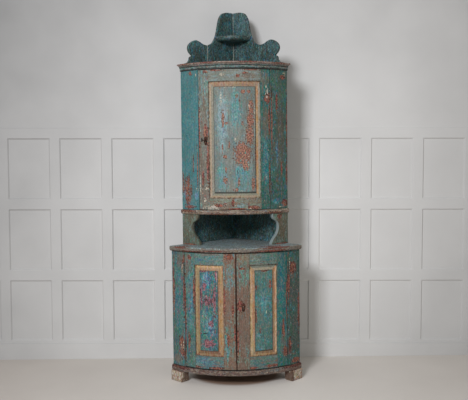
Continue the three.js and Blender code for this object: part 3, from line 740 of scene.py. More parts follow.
@dataclass(frozen=True)
class Paint:
    """Old oil paint on pine, brushed by hand in several coats.

    The eye sees a matt blue-green top coat, thinned along the grain, with brick-red primer where it has
    flaked, off-white filler and bare wood in the deepest chips, and dark pits. Painted shade darkens the
    hollow round a panel's field and the lines under the boards' overhangs.

    Chips, pale, pits and rub are shares of the surface, and edges is how much more of them an edge has.
    Uneven is how much the coats change, vary how far patches go to the tint and to rubbed wood, fine how
    much of the flaking is small, and dust how much the dust shows. Red and dark places stay beyond rim, so
    that the painted shade lines along the boards' edges mark only the front.
    """

    name: str
    coats: tuple[str, str, str]
    grain: Grain = Grain.UP
    red: str = "#7c4b3e"
    cream: str = "#cfc4ad"
    tint: str = "#3f86a0"
    second: str = "#8fb0ae"
    rubbed: str = "#77695c"
    dark: str = "#1c1a19"
    chips: float = 0.10
    pale: float = 0.02
    pits: float = 0.04
    rub: float = 0.20
    edges: float = 0.35
    uneven: float = 1.0
    vary: float = 0.35
    fine: float = 0.35
    dust: float = 0.16
    dust_light: str = "#b3aa98"
    dust_dark: str = "#35302a"
    # Colour of a painted highlight along a sawn edge
    sawn_edge_highlight: str = ""
    rough: float = 0.62
    rim: float = 0.0
    places: tuple[Place, ...] = ()
    band: Band | None = None
    opening: Opening | None = None

    def colour_of(self, layer: Layer) -> str:
        """The colour that a layer shows."""
        return getattr(self, layer.value)


@dataclass(frozen=True)
class Texture:
    """A noise of the paint: grain size along the bow, out and up in mm, octaves, their strength, its shift.

    One that turns has its length along the wood's grain.
    """

    size: Triple
    detail: float
    rough: float
    shift: float
    turns: bool = True


# Real sizes. Pine's finest grain and the smallest flakes are drawn about twice as coarse as they are, so
# that they show from across a room
TONE = Texture((84.0, 140.0, 140.0), 3.0, 0.55, 0.0, turns=False)
STREAK = Texture((8.0, 8.0, 130.0), 4.0, 0.6, 3.0)
FLAKE = Texture((12.0, 12.0, 30.0), 4.0, 0.6, 7.0)
SPECK = Texture((7.0, 7.0, 9.8), 2.0, 0.5, 11.0, turns=False)
FLECK = Texture((8.4, 7.0, 11.9), 2.0, 0.5, 13.0, turns=False)
GRAIN = Texture((2.4, 2.4, 60.0), 2.0, 0.5, 17.0)
DUST = Texture((5.0, 5.0, 12.0), 1.0, 0.5, 19.0)
PATCH = Texture((16.0, 16.0, 30.0), 2.0, 0.6, 23.0)

# The relief's depth in millimetres, the paint's index of refraction, how far a mixed noise spreads, how
# softly places end at the rim, how far behind the bow a band starts and is full, and a worn band's colour
PAINT_FILM = 1.0
PAINT_IOR = 1.48
NOISE_SPREAD = 0.085
RIM_BLEND = 6.0
FRONT_BLEND = (15.0, 12.0)
BAND_WEAR = "#8b8f80"

# How much a worn place adds to the noise that uncovers its layer, and an edge to chips and rubbing
RUBBED_BOOST, RED_BOOST, CREAM_BOOST = 0.10, 0.20, 0.16
EDGE_RUB, EDGE_CHIP = 0.12, 0.11


def share_level(share: float) -> float:
    """The level of a mixed noise that this share of its values lies above, taking it as normal."""
    return 0.5 + NOISE_SPREAD * NormalDist().inv_cdf(1 - min(max(share, 0.001), 0.999))


class PaintJob:
    """One painted material while it is being made, from the brushed coats out to the pits and the painted
    shade.
    """

    def __init__(self, graph: Graph, finish: Paint, bow: NodeTree, worn: NodeTree) -> None:
        """Lays out the place on the bow, the noises and the masks.

        Args:
            graph: The material's graph.
            finish: The paint.
            bow: The group that gives the place on the bow.
            worn: The group that makes one marked place, of wear or of painted shade.
        """
        self.graph, self.finish = graph, finish
        self.bow = graph.node("Group", node_tree=bow).outputs
        along = graph.times(graph.math("RADIANS", self.bow["Angle"]), self.bow["Out"])
        self.vector = graph.add("CombineXYZ", {0: along, 1: self.bow["Out"], 2: self.bow["Up"]})
        self.streak, self.flake, self.speck, self.fleck, self.grain, self.dust = (
            self.texture(kind) for kind in (STREAK, FLAKE, SPECK, FLECK, GRAIN, DUST)
        )
        self.edge = graph.add("Attribute", out="Fac", attribute_name="edge")
        self.masks = self.wear_and_shade_masks(worn)

    def texture(self, kind: Texture) -> Socket:
        """One noise of the paint, moved by its own shift and by one that comes from the finish's name."""
        shift = kind.shift + float(sum(map(ord, self.finish.name)) % 97)
        size = kind.size[::-1] if kind.turns and self.finish.grain is Grain.ACROSS else kind.size
        return self.graph.noise(self.vector, size, kind.detail, kind.rough, shift)

    def wear_and_shade_masks(self, worn: NodeTree) -> dict[Layer, Socket]:
        """One mask for each layer: the largest of its marked places, of wear and of painted shade.

        Args:
            worn: The group that makes one marked place, of wear or of painted shade.

        Returns:
            The masks of the layers that have places.
        """
        graph, result = self.graph, {}
        ragged = graph.times(self.flake, 0.6, graph.times(self.speck, 0.4))
        given = {name: self.bow[name] for name in ("Angle", "Out", "Up")} | {"Ragged": ragged}
        for spot in self.finish.places:
            oval = {"At": spot.angle, "Height": spot.height, "Across": spot.across, "Rise": spot.rise}
            mask = graph.add("Group", given | oval, node_tree=worn)
            before = result.get(spot.shows)
            result[spot.shows] = mask if before is None else graph.math("MAXIMUM", before, mask)
        # Red and dark places, painted shade lines among them, stay on the front beyond the rim
        rim = self.finish.rim
        if rim > 0.0:
            outside = graph.step(self.bow["Out"], rim - RIM_BLEND, rim)
            for layer in (Layer.RED, Layer.DARK):
                if layer in result:
                    result[layer] = graph.times(result[layer], outside)
        return result

    def boosted(self, value: Socket, layer: Layer, more: float) -> Socket:
        """A value raised at a layer's worn places."""
        return self.graph.times(self.masks[layer], more, value) if layer in self.masks else value

    def coats(self) -> Socket:
        """The brushed coats, with touched-up places, bluer and browner patches, and an uneven hue."""
        graph, finish = self.graph, self.finish
        light, middle, deep = finish.coats
        colour = graph.between(middle, light, self.texture(TONE), 0.40, 0.60)
        colour = graph.toward(colour, deep, 0.85, self.streak, 0.46, 0.66)
        broken = graph.step(graph.times(self.streak, 0.5, graph.times(self.fleck, 0.5)), 0.58, 0.42)
        for layer in (Layer.SECOND, Layer.TINT):
            if layer in self.masks:
                share = graph.times(self.masks[layer], graph.times(broken, 0.45, 0.30))
                colour = graph.mix(share, colour, finish.colour_of(layer))
        patch = self.texture(PATCH)
        for low, high, tint in ((0.54, 0.66, finish.tint), (0.46, 0.34, finish.rubbed)):
            colour = graph.toward(colour, tint, finish.vary, patch, low, high)
        lively = min(finish.uneven, 1.0)
        return graph.hue(
            colour, graph.times(self.flake, 0.46 * lively, 0.5 - 0.23 * lively),
            graph.times(self.fleck, 3.4 * lively, 1.0 - 1.7 * lively),
            graph.times(self.speck, 1.5 * finish.uneven, 1.0 - 0.75 * finish.uneven),
        )

    def rubbed(self, colour: Socket) -> Socket:
        """The coats rubbed through to wood and primer, most of all at edges and along the grain."""
        graph, finish = self.graph, self.finish
        rub = graph.times(self.streak, 0.4, graph.times(self.flake, 0.3, graph.times(self.fleck, 0.3)))
        rub = self.boosted(graph.times(self.edge, EDGE_RUB * finish.edges, rub), Layer.RUBBED, RUBBED_BOOST)
        level = share_level(finish.rub)
        wood = graph.between(finish.rubbed, shade(finish.rubbed, 0.72), self.grain, 0.4, 0.65)
        wood = graph.toward(wood, finish.red, 0.4, self.speck, 0.45, 0.65)
        return graph.toward(colour, wood, 0.72, rub, level - 0.03, level + 0.05)

    def dusty(self, colour: Socket) -> Socket:
        """Pale and dark dust in the brush marks."""
        graph, finish = self.graph, self.finish
        for low, high, tint in ((0.56, 0.66, finish.dust_light), (0.44, 0.34, finish.dust_dark)):
            colour = graph.toward(colour, tint, finish.dust, self.dust, low, high)
        return colour

    def chipped(self, colour: Socket) -> tuple[Socket, Socket]:
        """Flakes down to the primer, chips down to filler and wood, and pits.

        Args:
            colour: The colour so far.

        Returns:
            The colour with them, and where the paint has flaked.
        """
        graph, finish = self.graph, self.finish
        fine = graph.times(self.fleck, finish.fine, graph.times(self.streak, 0.2))
        chip = graph.times(self.flake, 0.8 - finish.fine, fine)
        chip = graph.times(self.edge, EDGE_CHIP * finish.edges, chip)
        level = share_level(finish.chips)
        bare = graph.step(chip, level + 0.09, level + 0.11)
        flaked = graph.step(self.boosted(chip, Layer.RED, RED_BOOST), level - 0.012, level + 0.018)
        primer = graph.between(shade(finish.red, 0.62), shade(finish.red, 1.24), self.speck, 0.36, 0.62)
        faded = graph.times(self.edge, -0.35, graph.times(self.fleck, 0.8, 0.6))
        primer = graph.hue(primer, graph.times(self.dust, 0.16, 0.42), 1.0, faded)
        colour = graph.mix(graph.times(flaked, 0.92), colour, primer)
        # A painted highlight along the sawn edge
        if finish.sawn_edge_highlight:
            colour = graph.toward(colour, finish.sawn_edge_highlight, 0.6, self.edge, 0.75, 0.88)

        pale = graph.times(self.speck, 0.5, graph.times(self.fleck, 0.5))
        level = share_level(finish.pale)
        flecks = graph.step(self.boosted(pale, Layer.CREAM, CREAM_BOOST), level, level + 0.02)
        cream = graph.between(finish.cream, shade(finish.cream, 0.75), self.grain, 0.35, 0.65)
        colour = graph.mix(graph.times(graph.math("MAXIMUM", bare, flecks), 0.85), colour, cream)
        level = 1 - share_level(finish.pits)
        pit = graph.times(self.speck, 0.6, graph.times(self.streak, 0.4))
        return graph.toward(colour, finish.dark, 0.7, pit, level + 0.02, level - 0.01), flaked

    def sides(self) -> tuple[Socket, Socket, Socket, Socket]:
        """The least distance to the frame, and the nearest side's two colours and width of painted shade."""
        graph, box, band = self.graph, self.finish.opening, self.finish.band
        angle, up = self.bow["Angle"], self.bow["Up"]
        scale = math.radians(1) * box.radius
        least = graph.times(angle, scale, -box.start * scale)
        outer, inner, shade_width = linear(band.left[0]), linear(band.left[1]), band.left[2]
        others = (
            (band.right, graph.times(angle, -scale, box.end * scale)),
            (band.bottom, graph.times(up, 1.0, -box.low)), (band.top, graph.times(up, -1.0, box.high)),
        )
        for (first, second, width), distance in others:
            nearer = graph.math("LESS_THAN", distance, least)
            outer, inner = graph.mix(nearer, outer, first), graph.mix(nearer, inner, second)
            shade_width = graph.times(graph.times(shade_width, -1.0, width), nearer, shade_width)
            least = graph.math("MINIMUM", distance, least)
        return least, outer, inner, shade_width

    def banded(self, colour: Socket) -> Socket:
        """The painted band round a panel, where the least distance to the frame is under the band's width."""
        graph, box, band = self.graph, self.finish.opening, self.finish.band
        least, outer, inner, shade_width = self.sides()
        uneven = graph.times(self.flake, 7.0, graph.times(least, 1.0, -3.5))
        tint = graph.between(outer, inner, uneven, box.band * 0.45, box.band * 0.62)
        tint = graph.hue(tint, graph.times(self.streak, 0.16, 0.42), graph.times(self.flake, 1.4, 0.3),
                         graph.times(self.speck, 1.3, 0.35))
        tint = graph.toward(tint, BAND_WEAR, 0.22, self.streak, 0.52, 0.64)
        ragged = graph.times(self.flake, -34.0, graph.times(least, 1.0, 17.0))
        tint = graph.toward(tint, band.joint, 0.7, ragged, 5.5, 1.0)
        front = graph.step(self.bow["Out"], *(box.radius - depth for depth in FRONT_BLEND))
        colour = graph.toward(colour, tint, front, uneven, box.band + 2.0, box.band)
        # Painted shade in the hollow at the field's foot: the step's shadow, widest on the sides turned from
        # the light
        away = graph.math("ABSOLUTE", graph.times(least, 1.0, -box.band - 3.0))
        near = graph.math("DIVIDE", away, shade_width)
        return graph.toward(colour, band.hollow, graph.times(front, 0.78), near, 1.0, 0.4)

    def build(self) -> None:
        """Makes the whole material."""
        graph, finish = self.graph, self.finish
        colour, flaked = self.chipped(self.dusty(self.rubbed(self.coats())))
        if finish.band and finish.opening:
            colour = self.banded(colour)
        # Dark places: stains and joints, and painted shade under overhangs, on the feet and in a keyhole
        if Layer.DARK in self.masks:
            colour = graph.mix(graph.times(self.masks[Layer.DARK], 0.88), colour, finish.dark)
        relief = graph.times(flaked, -0.8, graph.times(self.grain, 0.5, graph.times(self.speck, 0.6)))
        rough = graph.ramp(flaked, 0.0, 1.0, finish.rough, 0.88)
        graph.surface((0.7, PAINT_FILM, relief), {
            "Base Color": colour, "Roughness": rough, "IOR": PAINT_IOR, "Specular IOR Level": 0.4,
        })


class PaintShop:
    """Makes the materials from the finishes."""

    def __init__(self) -> None:
        """Makes the groups that all paints share."""
        self.bow, self.worn = bow_place(), worn_place()
        self.made: dict[str, bpy.types.Material] = {}

    def paint(self, finish: Paint) -> bpy.types.Material:
        """The material of a painted piece, made once for each name."""
        if finish.name not in self.made:
            self.made[finish.name], graph = new_material(finish.name)
            PaintJob(graph, finish, self.bow, self.worn).build()
        return self.made[finish.name]

    def wrought_iron(self, name: str) -> bpy.types.Material:
        """Forged iron, rusted brown: the eye sees a dark, uneven and dull metal with rust bloom."""
        material, graph = new_material(name)
        vector = graph.millimetres()
        bloom = graph.noise(vector, (7.0, 7.0, 7.0), 4.0, 0.6, 2.0)
        pit = graph.noise(vector, (1.6, 1.6, 1.6), 2.0, 0.6, 4.0)
        graph.surface((0.5, 0.3, pit), {
            "Base Color": graph.between("#2a211c", "#5e3423", bloom, 0.42, 0.66),
            "Metallic": graph.ramp(bloom, 0.4, 0.65, 0.85, 0.1),
            "Roughness": graph.ramp(bloom, 0.3, 0.7, 0.45, 0.85),
        })
        return material

    def painted_iron(self, name: str, coat: str) -> bpy.types.Material:
        """Iron painted over with the wood: the eye sees the coat, worn to dull rusty metal in patches."""
        material, graph = new_material(name)
        bloom = graph.noise(graph.millimetres(), (6.0, 6.0, 11.0), 3.0, 0.6, 8.0)
        worn = graph.step(bloom, 0.48, 0.56)
        rust = graph.between("#33241c", "#6a3f2b", bloom, 0.52, 0.66)
        graph.surface((0.5, 0.3, bloom), {
            "Base Color": graph.mix(worn, coat, rust), "Roughness": graph.ramp(worn, 0.0, 1.0, 0.6, 0.8),
        })
        return material


# Finishes


UPPER_LEFT = Paint(
    "upper_left_stile_blue_green", ("#487a7f", "#3e7276", "#406a69"), chips=0.045, rub=0.08, tint="#477b88",
    second="#6d8fae", uneven=0.45, dust=0.08, vary=0.12,
    places=spots(
        red=(
            (-34.6, 1875, 16, 14), (-43.6, 1199, 7, 90), (-38.6, 1160, 30, 105), (-37.0, 1066, 50, 14),
            (-29.2, 1300, 4, 160), (-33.0, 1330, 5, 60),
        ),
        cream=((-29.9, 1866, 5, 19), (-29.4, 1173, 15, 12)),
        second=((-41.5, 1156, 14, 40), (-30.6, 1134, 14, 22)),
        rubbed=((-41.0, 1180, 30, 60), (-37.0, 1140, 44, 110)),
    ),
)
UPPER_RIGHT = Paint(
    "upper_right_stile_grey_green", ("#35675d", "#2c5a53", "#355046"), chips=0.10, rub=0.24, tint="#3f7ea2",
    rubbed="#645649",
    places=spots(
        red=(
            (40.2, 1850, 22, 16), (44.4, 1551, 8, 190), (43.9, 1260, 9, 90), (41.6, 1084, 34, 22),
            (38.5, 1297, 6, 45), (34.0, 1700, 8, 70), (29.4, 1560, 5, 200),
        ),
        cream=((41.8, 1872, 16, 13), (38.2, 1058, 34, 7)),
        tint=((33.2, 1096, 24, 18), (34.0, 1400, 12, 60)),
        rubbed=((37.0, 1480, 40, 240),),
    ),
)
LOCK_STILE = Paint(
    "upper_lock_stile_worn", ("#6e8c88", "#617c75", "#6c6d62"), chips=0.13, rub=0.42, rubbed="#79695a",
    pale=0.035, cream="#d6ccb8", red="#83564a",
    places=spots(
        red=(
            (-21.8, 1879, 18, 9), (-27.2, 1540, 6, 150), (-22.0, 1515, 16, 52), (-20.4, 1327, 9, 140),
            (-24.5, 1250, 8, 60),
        ),
        cream=(
            (-22.5, 1830, 5, 16), (-26.9, 1202, 4, 149), (-22.1, 1179, 16, 10), (-21.5, 1062, 36, 13),
            (-23.0, 1110, 14, 18),
        ),
        rubbed=((-23.6, 1400, 34, 330), (-23.4, 1136, 30, 60)),
        dark=((-25.2, 1472, 8, 12),),
    ),
)
UPPER_TOP_RAIL = Paint(
    "upper_top_rail_pale", ("#798178", "#6a756c", "#626961"), Grain.ACROSS, chips=0.07, rub=0.28, pale=0.03,
    vary=0.45, tint="#7d98a0", uneven=0.7,
    places=spots(
        red=((2.7, 1851, 16, 11), (8.0, 1868, 16, 6), (-14.0, 1885, 50, 5), (12.0, 1886, 60, 5)),
        cream=((-9.0, 1859, 12, 9),),
        rubbed=((11.0, 1845, 50, 20),),
    ),
)
UPPER_BOTTOM_RAIL = Paint(
    "upper_bottom_rail", ("#767f70", "#687466", "#686555"), Grain.ACROSS, chips=0.15, rub=0.42,
    rubbed="#7e6756", pale=0.05, cream="#d9d0c2", tint="#6d96a0", uneven=0.8,
    places=spots(
        red=((-1.4, 1095, 9, 28), (14.5, 1063, 42, 11), (-12.0, 1076, 34, 10), (2.0, 1056, 60, 6)),
        cream=((-16.5, 1061, 44, 15),),
        tint=((4.0, 1075, 24, 16),),
        rubbed=((-8.5, 1068, 62, 20),),
    ),
)
UPPER_HINGE_STILE = Paint(
    "upper_hinge_stile", ("#256860", "#1d5c55", "#24544a"), chips=0.08, rub=0.24, cream="#e4d9ca",
    tint="#3f7f92",
    places=spots(
        red=((27.2, 1595, 6, 110), (26.0, 1716, 24, 36), (27.3, 1240, 5, 120)),
        cream=((25.4, 1755, 16, 46), (25.4, 1246, 7, 30)),
        tint=((24.0, 1330, 18, 140),),
        rubbed=((24.0, 1830, 30, 50), (24.5, 1560, 20, 120)),
    ),
)
UPPER_FIELD = Paint(
    "upper_field_pale_blue", ("#7a817b", "#697673", "#5c6865"), chips=0.08, rub=0.16, edges=0.0,
    red="#8b6151", cream="#d9cfb8", tint="#4f979e", second="#83a3ae", rubbed="#766c57", pale=0.025,
    vary=0.3, fine=0.3, dust=0.1, uneven=0.8,
    places=spots(
        red=(
            (-8.4, 1595, 9, 58), (6.8, 1756, 13, 13), (11.0, 1757, 10, 13), (-5.8, 1569, 9, 10),
            (6.0, 1569, 9, 12), (12.8, 1663, 20, 44), (12.2, 1588, 26, 48), (11.6, 1498, 26, 60),
            (6.0, 1381, 56, 78), (3.9, 1426, 20, 24), (8.7, 1313, 23, 30), (3.1, 1218, 8, 28),
            (-7.1, 1228, 14, 25), (-6.5, 1292, 8, 20), (-7.3, 1369, 16, 10), (0.7, 1171, 17, 12),
            (14.0, 1204, 11, 50), (-9.0, 1420, 5, 34), (-4.0, 1440, 6, 20), (16.0, 1380, 6, 120),
            (2.0, 1730, 8, 16),
        ),
        cream=(
            (-1.6, 1785, 46, 5), (-9.9, 1710, 6, 48), (5.7, 1623, 11, 9), (11.0, 1672, 6, 18),
            (15.6, 1650, 4, 54), (0.4, 1474, 7, 16), (9.0, 1322, 13, 7), (-12.4, 1163, 16, 6),
            (5.7, 1162, 14, 6), (15.7, 1184, 4, 33),
        ),
        tint=((6.0, 1260, 50, 120), (1.0, 1650, 34, 120), (-9.0, 1240, 30, 100)),
        # A paler patch on the left, partly its paint and partly painted highlight where the field catches the
        # light
        second=((-9.0, 1570, 30, 170),),
        rubbed=((12.0, 1560, 30, 220),),
        dark=((2.2, 1275, 3, 16),),
    ),
    band=Band(
        left=("#a6937e", "#878476", 3.0), right=("#9f998a", "#b28f6b", 5.0),
        top=("#987c62", "#8d765f", 1.6), bottom=("#a18f77", "#888878", 8.0),
    ),
)
LOWER_LEFT = Paint(
    "lower_left_stile_blue_green", ("#3e7476", "#356566", "#3c6057"), chips=0.13, rub=0.30, tint="#3c6f7e",
    pale=0.03,
    places=spots(
        red=(
            (-37.0, 240, 22, 40), (-34.8, 725, 9, 54), (-36.0, 197, 30, 50), (-43.5, 560, 8, 200),
            (-34.8, 560, 5, 150),
        ),
        cream=((-35.4, 226, 10, 40), (-35.6, 700, 10, 30), (-37.6, 212, 8, 20)),
        tint=((-37.6, 635, 28, 36), (-40.0, 470, 28, 70)),
        rubbed=((-36.0, 740, 44, 60), (-40.4, 138, 40, 30)),
    ),
)
LOWER_RIGHT = Paint(
    "lower_right_stile_grey_green", ("#2a625b", "#27554d", "#2b4c42"), chips=0.20, rub=0.32,
    rubbed="#42534f", pale=0.04, vary=0.45,
    places=spots(
        red=(
            (38.5, 694, 28, 34), (35.2, 599, 9, 95), (43.9, 420, 10, 110), (35.8, 215, 14, 54),
            (41.0, 120, 32, 16),
        ),
        cream=((36.0, 716, 4, 40),),
        rubbed=((40.0, 600, 60, 160), (41.0, 300, 50, 120)),
    ),
)
LEFT_DOOR = Paint(
    "lower_left_door_blue", ("#4d7c76", "#3f6c6a", "#446058"), chips=0.12, rub=0.22, tint="#3f7c90",
    places=spots(
        red=((-30.1, 769, 17, 17), (-27.2, 560, 7, 110), (-33.6, 400, 6, 260), (-31.0, 250, 8, 60)),
        tint=((-29.5, 500, 18, 150),),
        rubbed=((-32.0, 719, 28, 64),),
    ),
)
LEFT_RAILS = Paint(
    "lower_left_rails_blue", ("#64847e", "#547774", "#596b66"), Grain.ACROSS, chips=0.11, rub=0.20,
    tint="#3f6d7c", second="#6a7b94", vary=0.6,
    places=spots(
        red=((-12.2, 106, 48, 9), (-26.0, 106, 42, 8)),
        cream=((-9.6, 104, 12, 6),),
        tint=((-17.0, 126, 95, 36), (-22.3, 757, 36, 14)),
        second=((-20.7, 149, 55, 19),),
        rubbed=((-17.0, 790, 70, 9),),
    ),
)
LEFT_MEETING = Paint(
    "lower_left_meeting_stile", ("#727969", "#636b5d", "#745847"), chips=0.14, rub=0.48, rubbed="#836150",
    pale=0.03, tint="#3f8f96", vary=0.5, dark="#3a2216",
    places=spots(
        red=(
            (-4.1, 776, 26, 17), (-0.8, 316, 8, 52), (-5.0, 282, 9, 40), (-7.2, 520, 6, 110),
            (-2.0, 460, 7, 34),
        ),
        tint=((-4.6, 694, 34, 34), (-4.1, 616, 36, 44), (-5.6, 240, 14, 90)),
        rubbed=((-4.1, 770, 32, 28), (-4.1, 490, 34, 110), (-3.0, 130, 26, 30)),
        dark=((-0.35, 448, 2.6, 345),),
    ),
)
RIGHT_MEETING = Paint(
    "lower_right_meeting_stile", ("#6f7767", "#636c5f", "#6f5949"), chips=0.11, rub=0.55, rubbed="#7c5d4f",
    pale=0.03, tint="#418f8c", second="#858468", vary=0.5, dark="#3a2216",
    places=spots(
        red=((2.2, 484, 18, 40), (3.6, 707, 16, 9), (1.0, 250, 6, 90)),
        tint=((4.4, 655, 40, 56), (6.2, 200, 14, 60)),
        second=((4.7, 765, 32, 28),),
        rubbed=((4.4, 540, 36, 60), (4.4, 327, 34, 120), (3.0, 120, 22, 26)),
        # The second dark place is painted shade in the lower keyhole, where the plate's hole shows the stile
        dark=((0.35, 448, 2.6, 345), (4.6, 473, 3.2, 11)),
    ),
)
RIGHT_RAILS = Paint(
    "lower_right_rails_teal", ("#65837b", "#57736d", "#5e6960"), Grain.ACROSS, chips=0.10, rub=0.28,
    cream="#d5c3b0", tint="#3a6c70", vary=0.5,
    places=spots(
        red=((24.3, 112, 68, 11), (10.0, 108, 32, 9)),
        cream=((28.0, 118, 8, 9), (24.6, 103, 18, 5)),
        tint=((17.0, 136, 90, 36), (20.0, 760, 42, 14)),
        rubbed=((12.0, 775, 44, 22),),
    ),
)
RIGHT_HINGE = Paint(
    "lower_right_hinge_stile", ("#26716f", "#206363", "#255c53"), chips=0.07, rub=0.18, tint="#38707e",
    places=spots(
        red=((32.4, 189, 20, 38), (31.0, 330, 11, 60), (33.6, 500, 6, 140)),
        tint=((30.0, 620, 22, 120),),
        rubbed=((31.0, 250, 24, 90),),
    ),
)
LEFT_FIELD = Paint(
    "lower_left_field_blue", ("#2e7472", "#266866", "#286059"), chips=0.17, rub=0.22, edges=0.0,
    red="#80525a", pale=0.04, cream="#cdb3a6", tint="#3f86ae", second="#5d9694", rubbed="#37645b", vary=0.3,
    fine=0.8, pits=0.03,
    places=spots(
        red=(
            (-17.8, 512, 30, 30), (-22.1, 537, 7, 84), (-12.4, 665, 8, 34), (-15.7, 372, 16, 20),
            (-17.6, 253, 38, 25), (-13.5, 520, 9, 90), (-20.0, 600, 12, 22), (-20.5, 690, 26, 8),
        ),
        cream=((-11.9, 642, 4, 60), (-18.0, 698, 26, 5)),
        tint=((-18.7, 634, 29, 54), (-16.0, 350, 22, 60)),
        second=((-19.5, 400, 22, 70), (-14.0, 455, 8, 28)),
        dark=((-19.4, 314, 20, 3),),
    ),
    band=Band(
        left=("#a38e6b", "#937c5c", 1.0), right=("#a98966", "#9f805d", 2.6),
        top=("#bb9a72", "#a58668", 2.0), bottom=("#98795f", "#7d5f48", 5.0), joint="#74453a",
        # Painted shade in the hollow, red-brown on this door
        hollow="#6f4a3c",
    ),
)
RIGHT_FIELD = Paint(
    "lower_right_field_teal", ("#4e7c78", "#426f6b", "#42625e"), chips=0.07, rub=0.14, edges=0.0,
    cream="#d0c9b0", tint="#4f93a0", pale=0.03, vary=0.45, red="#7c4636", pits=0.03, uneven=0.8,
    places=spots(
        red=(
            (21.5, 604, 12, 27), (12.5, 592, 6, 19), (18.0, 692, 32, 8), (12.2, 420, 6, 60),
            (20.0, 208, 18, 7), (15.0, 330, 5, 24),
        ),
        cream=((18.0, 698, 28, 5), (17.5, 205, 24, 5), (19.0, 450, 3, 22)),
        tint=((17.0, 500, 20, 60),),
    ),
    band=Band(
        # The right side's darker inner colour is partly painted shade beside the field's step
        left=("#b29873", "#a48464", 1.8), right=("#cea885", "#987a5d", 4.0),
        top=("#6f7468", "#98907c", 2.0), bottom=("#a3805e", "#86694e", 5.0),
    ),
)
COUNTER = Paint(
    "counter_blue_grey", ("#8a9a90", "#7c8d82", "#6a7870"), Grain.ACROSS, chips=0.06, rub=0.34,
    rubbed="#76604f", tint="#5f7f86", cream="#c7b28c", uneven=1.6, dust=0.3, vary=0.5, second="#8fb4c4",
    rim=500.0,
    places=spots(
        red=(
            (25.3, 826, 90, 6), (-36.0, 826, 50, 6), (22.0, 808, 120, 8), (-12.0, 812, 90, 4),
            (-28.0, 806, 80, 7),
        ),
        cream=((2.0, 827, 60, 3),),
        tint=((0.0, 812, 700, 17),),
        # The top face's paler blue is partly its paint and partly painted light on the top
        second=((0.0, 834, 720, 9),),
        rubbed=((0.0, 812, 600, 15), (20.0, 822, 160, 8), (-37.0, 815, 120, 14), (38.0, 815, 110, 14)),
        # Painted shade along the nose's underside, over the gap above the doors
        dark=((0.0, 801, 700, 4),),
    ),
)
CORNICE = Paint(
    "cornice_blue_grey", ("#617f7b", "#52706e", "#465e58"), Grain.ACROSS, chips=0.10, rub=0.32,
    rubbed="#82695d", red="#7c4a3d", cream="#d3c6b4", uneven=1.5, dust=0.3, vary=0.5, tint="#4d7a7c",
    second="#c29a8c",
    places=spots(
        red=((-38.0, 1931, 40, 5), (-18.0, 1932, 50, 4), (10.0, 1931, 60, 4), (34.0, 1930, 50, 5)),
        cream=((25.7, 1898, 14, 7), (-12.0, 1932, 24, 4), (6.0, 1933, 14, 3)),
        # The pale band over the cove's top and the fillet is painted light, over pinkish worn paint
        second=((0.0, 1928, 700, 9),),
        rubbed=((0.0, 1931, 600, 6),),
        # Painted shade under the cornice and under the fillet
        dark=((0.0, 1896, 700, 6), (0.0, 1914, 700, 3)),
    ),
)
WAIST = Paint(
    "waist_moulding_worn", ("#887c6a", "#7a6c5d", "#66584a"), Grain.ACROSS, chips=0.10, rub=0.50,
    rubbed="#867464", red="#73483b", pale=0.05, uneven=1.6, dust=0.45, dust_light="#c4b8a8", vary=0.5,
    places=spots(
        red=((-38.0, 1042, 60, 12), (30.0, 1028, 70, 8), (-12.0, 1024, 70, 5)),
        cream=((40.0, 1044, 30, 5), (0.0, 1046, 60, 3)),
    ),
)
CHEEK = Paint(
    "niche_cheek_grey_green", ("#5f7265", "#586456", "#4d5244"), chips=0.05, rub=0.36, rubbed="#615642",
    tint="#5d8a86", vary=0.55,
    places=spots(
        red=((-38.0, 834, 60, 6), (38.0, 834, 60, 6), (36.0, 1000, 22, 16)),
        rubbed=((-37.0, 1005, 60, 14), (38.0, 940, 50, 80)),
    ),
)
# The right cheek's pale sawn edge is painted highlight, on the edge that faces the light
RIGHT_CHEEK = replace(CHEEK, name="niche_cheek_right_grey_green", sawn_edge_highlight="#9aacb0")
BASE = Paint(
    "base_board_grey_brown", ("#6c5c52", "#5f5046", "#4f3d38"), Grain.ACROSS, chips=0.10, rub=0.40,
    rubbed="#796459", red="#623a31", tint="#5f7276", rough=0.75, pale=0.04, uneven=1.5, dust=0.35, vary=0.5,
    rim=545.0,
    places=spots(
        red=((-38.0, 90, 90, 10), (38.0, 90, 90, 9)),
        tint=((28.0, 84, 110, 8),),
        # Painted shade along the top of the base, under the doors
        dark=((0.0, 97, 600, 3),),
    ),
)
CREST = Paint(
    "crest_petrol_blue", ("#476b6f", "#2d4e4d", "#2d372e"), chips=0.12, rub=0.22, rubbed="#443f35",
    red="#53382e", cream="#b2bdb4", pale=0.06, pits=0.09, uneven=2.4, edges=0.3, rough=0.5, dust=0.42,
    dust_light="#7d8578", dust_dark="#15181a", vary=0.55, tint="#2b7590",
)
FILLER = Paint(
    "pale_filler", ("#b9bfb8", "#a3aaa2", "#7e857c"), chips=0.02, rub=0.3, rubbed="#6f7268", edges=0.0,
)
INSIDE = Paint(
    "inside_thin_blue_grey", ("#6b7a73", "#5b6b66", "#6f6353"), chips=0.05, rub=0.36, rubbed="#7d6349",
    red="#5d4033", edges=0.4, rough=0.7, vary=0.5, tint="#557a7c", uneven=0.6,
)
FOOT = Paint(
    "foot_worn_to_bare_wood", ("#c0b4a1", "#ab9f8b", "#8b7a6b"), chips=0.10, rub=0.24, rubbed="#997055",
    red="#5f382d", cream="#cfc4b2", rough=0.85, uneven=1.5, pale=0.08, dust=0.25, dust_light="#ddd4c6",
    dust_dark="#4a382c", dark="#563f33", edges=1.0, vary=0.5, tint="#cfc6b8",
    places=spots(
        # Painted shade on the feet's inner faces, turned from the light
        dark=((-34.6, 30, 7, 46), (35.2, 30, 20, 46)),
    ),
)


# Building


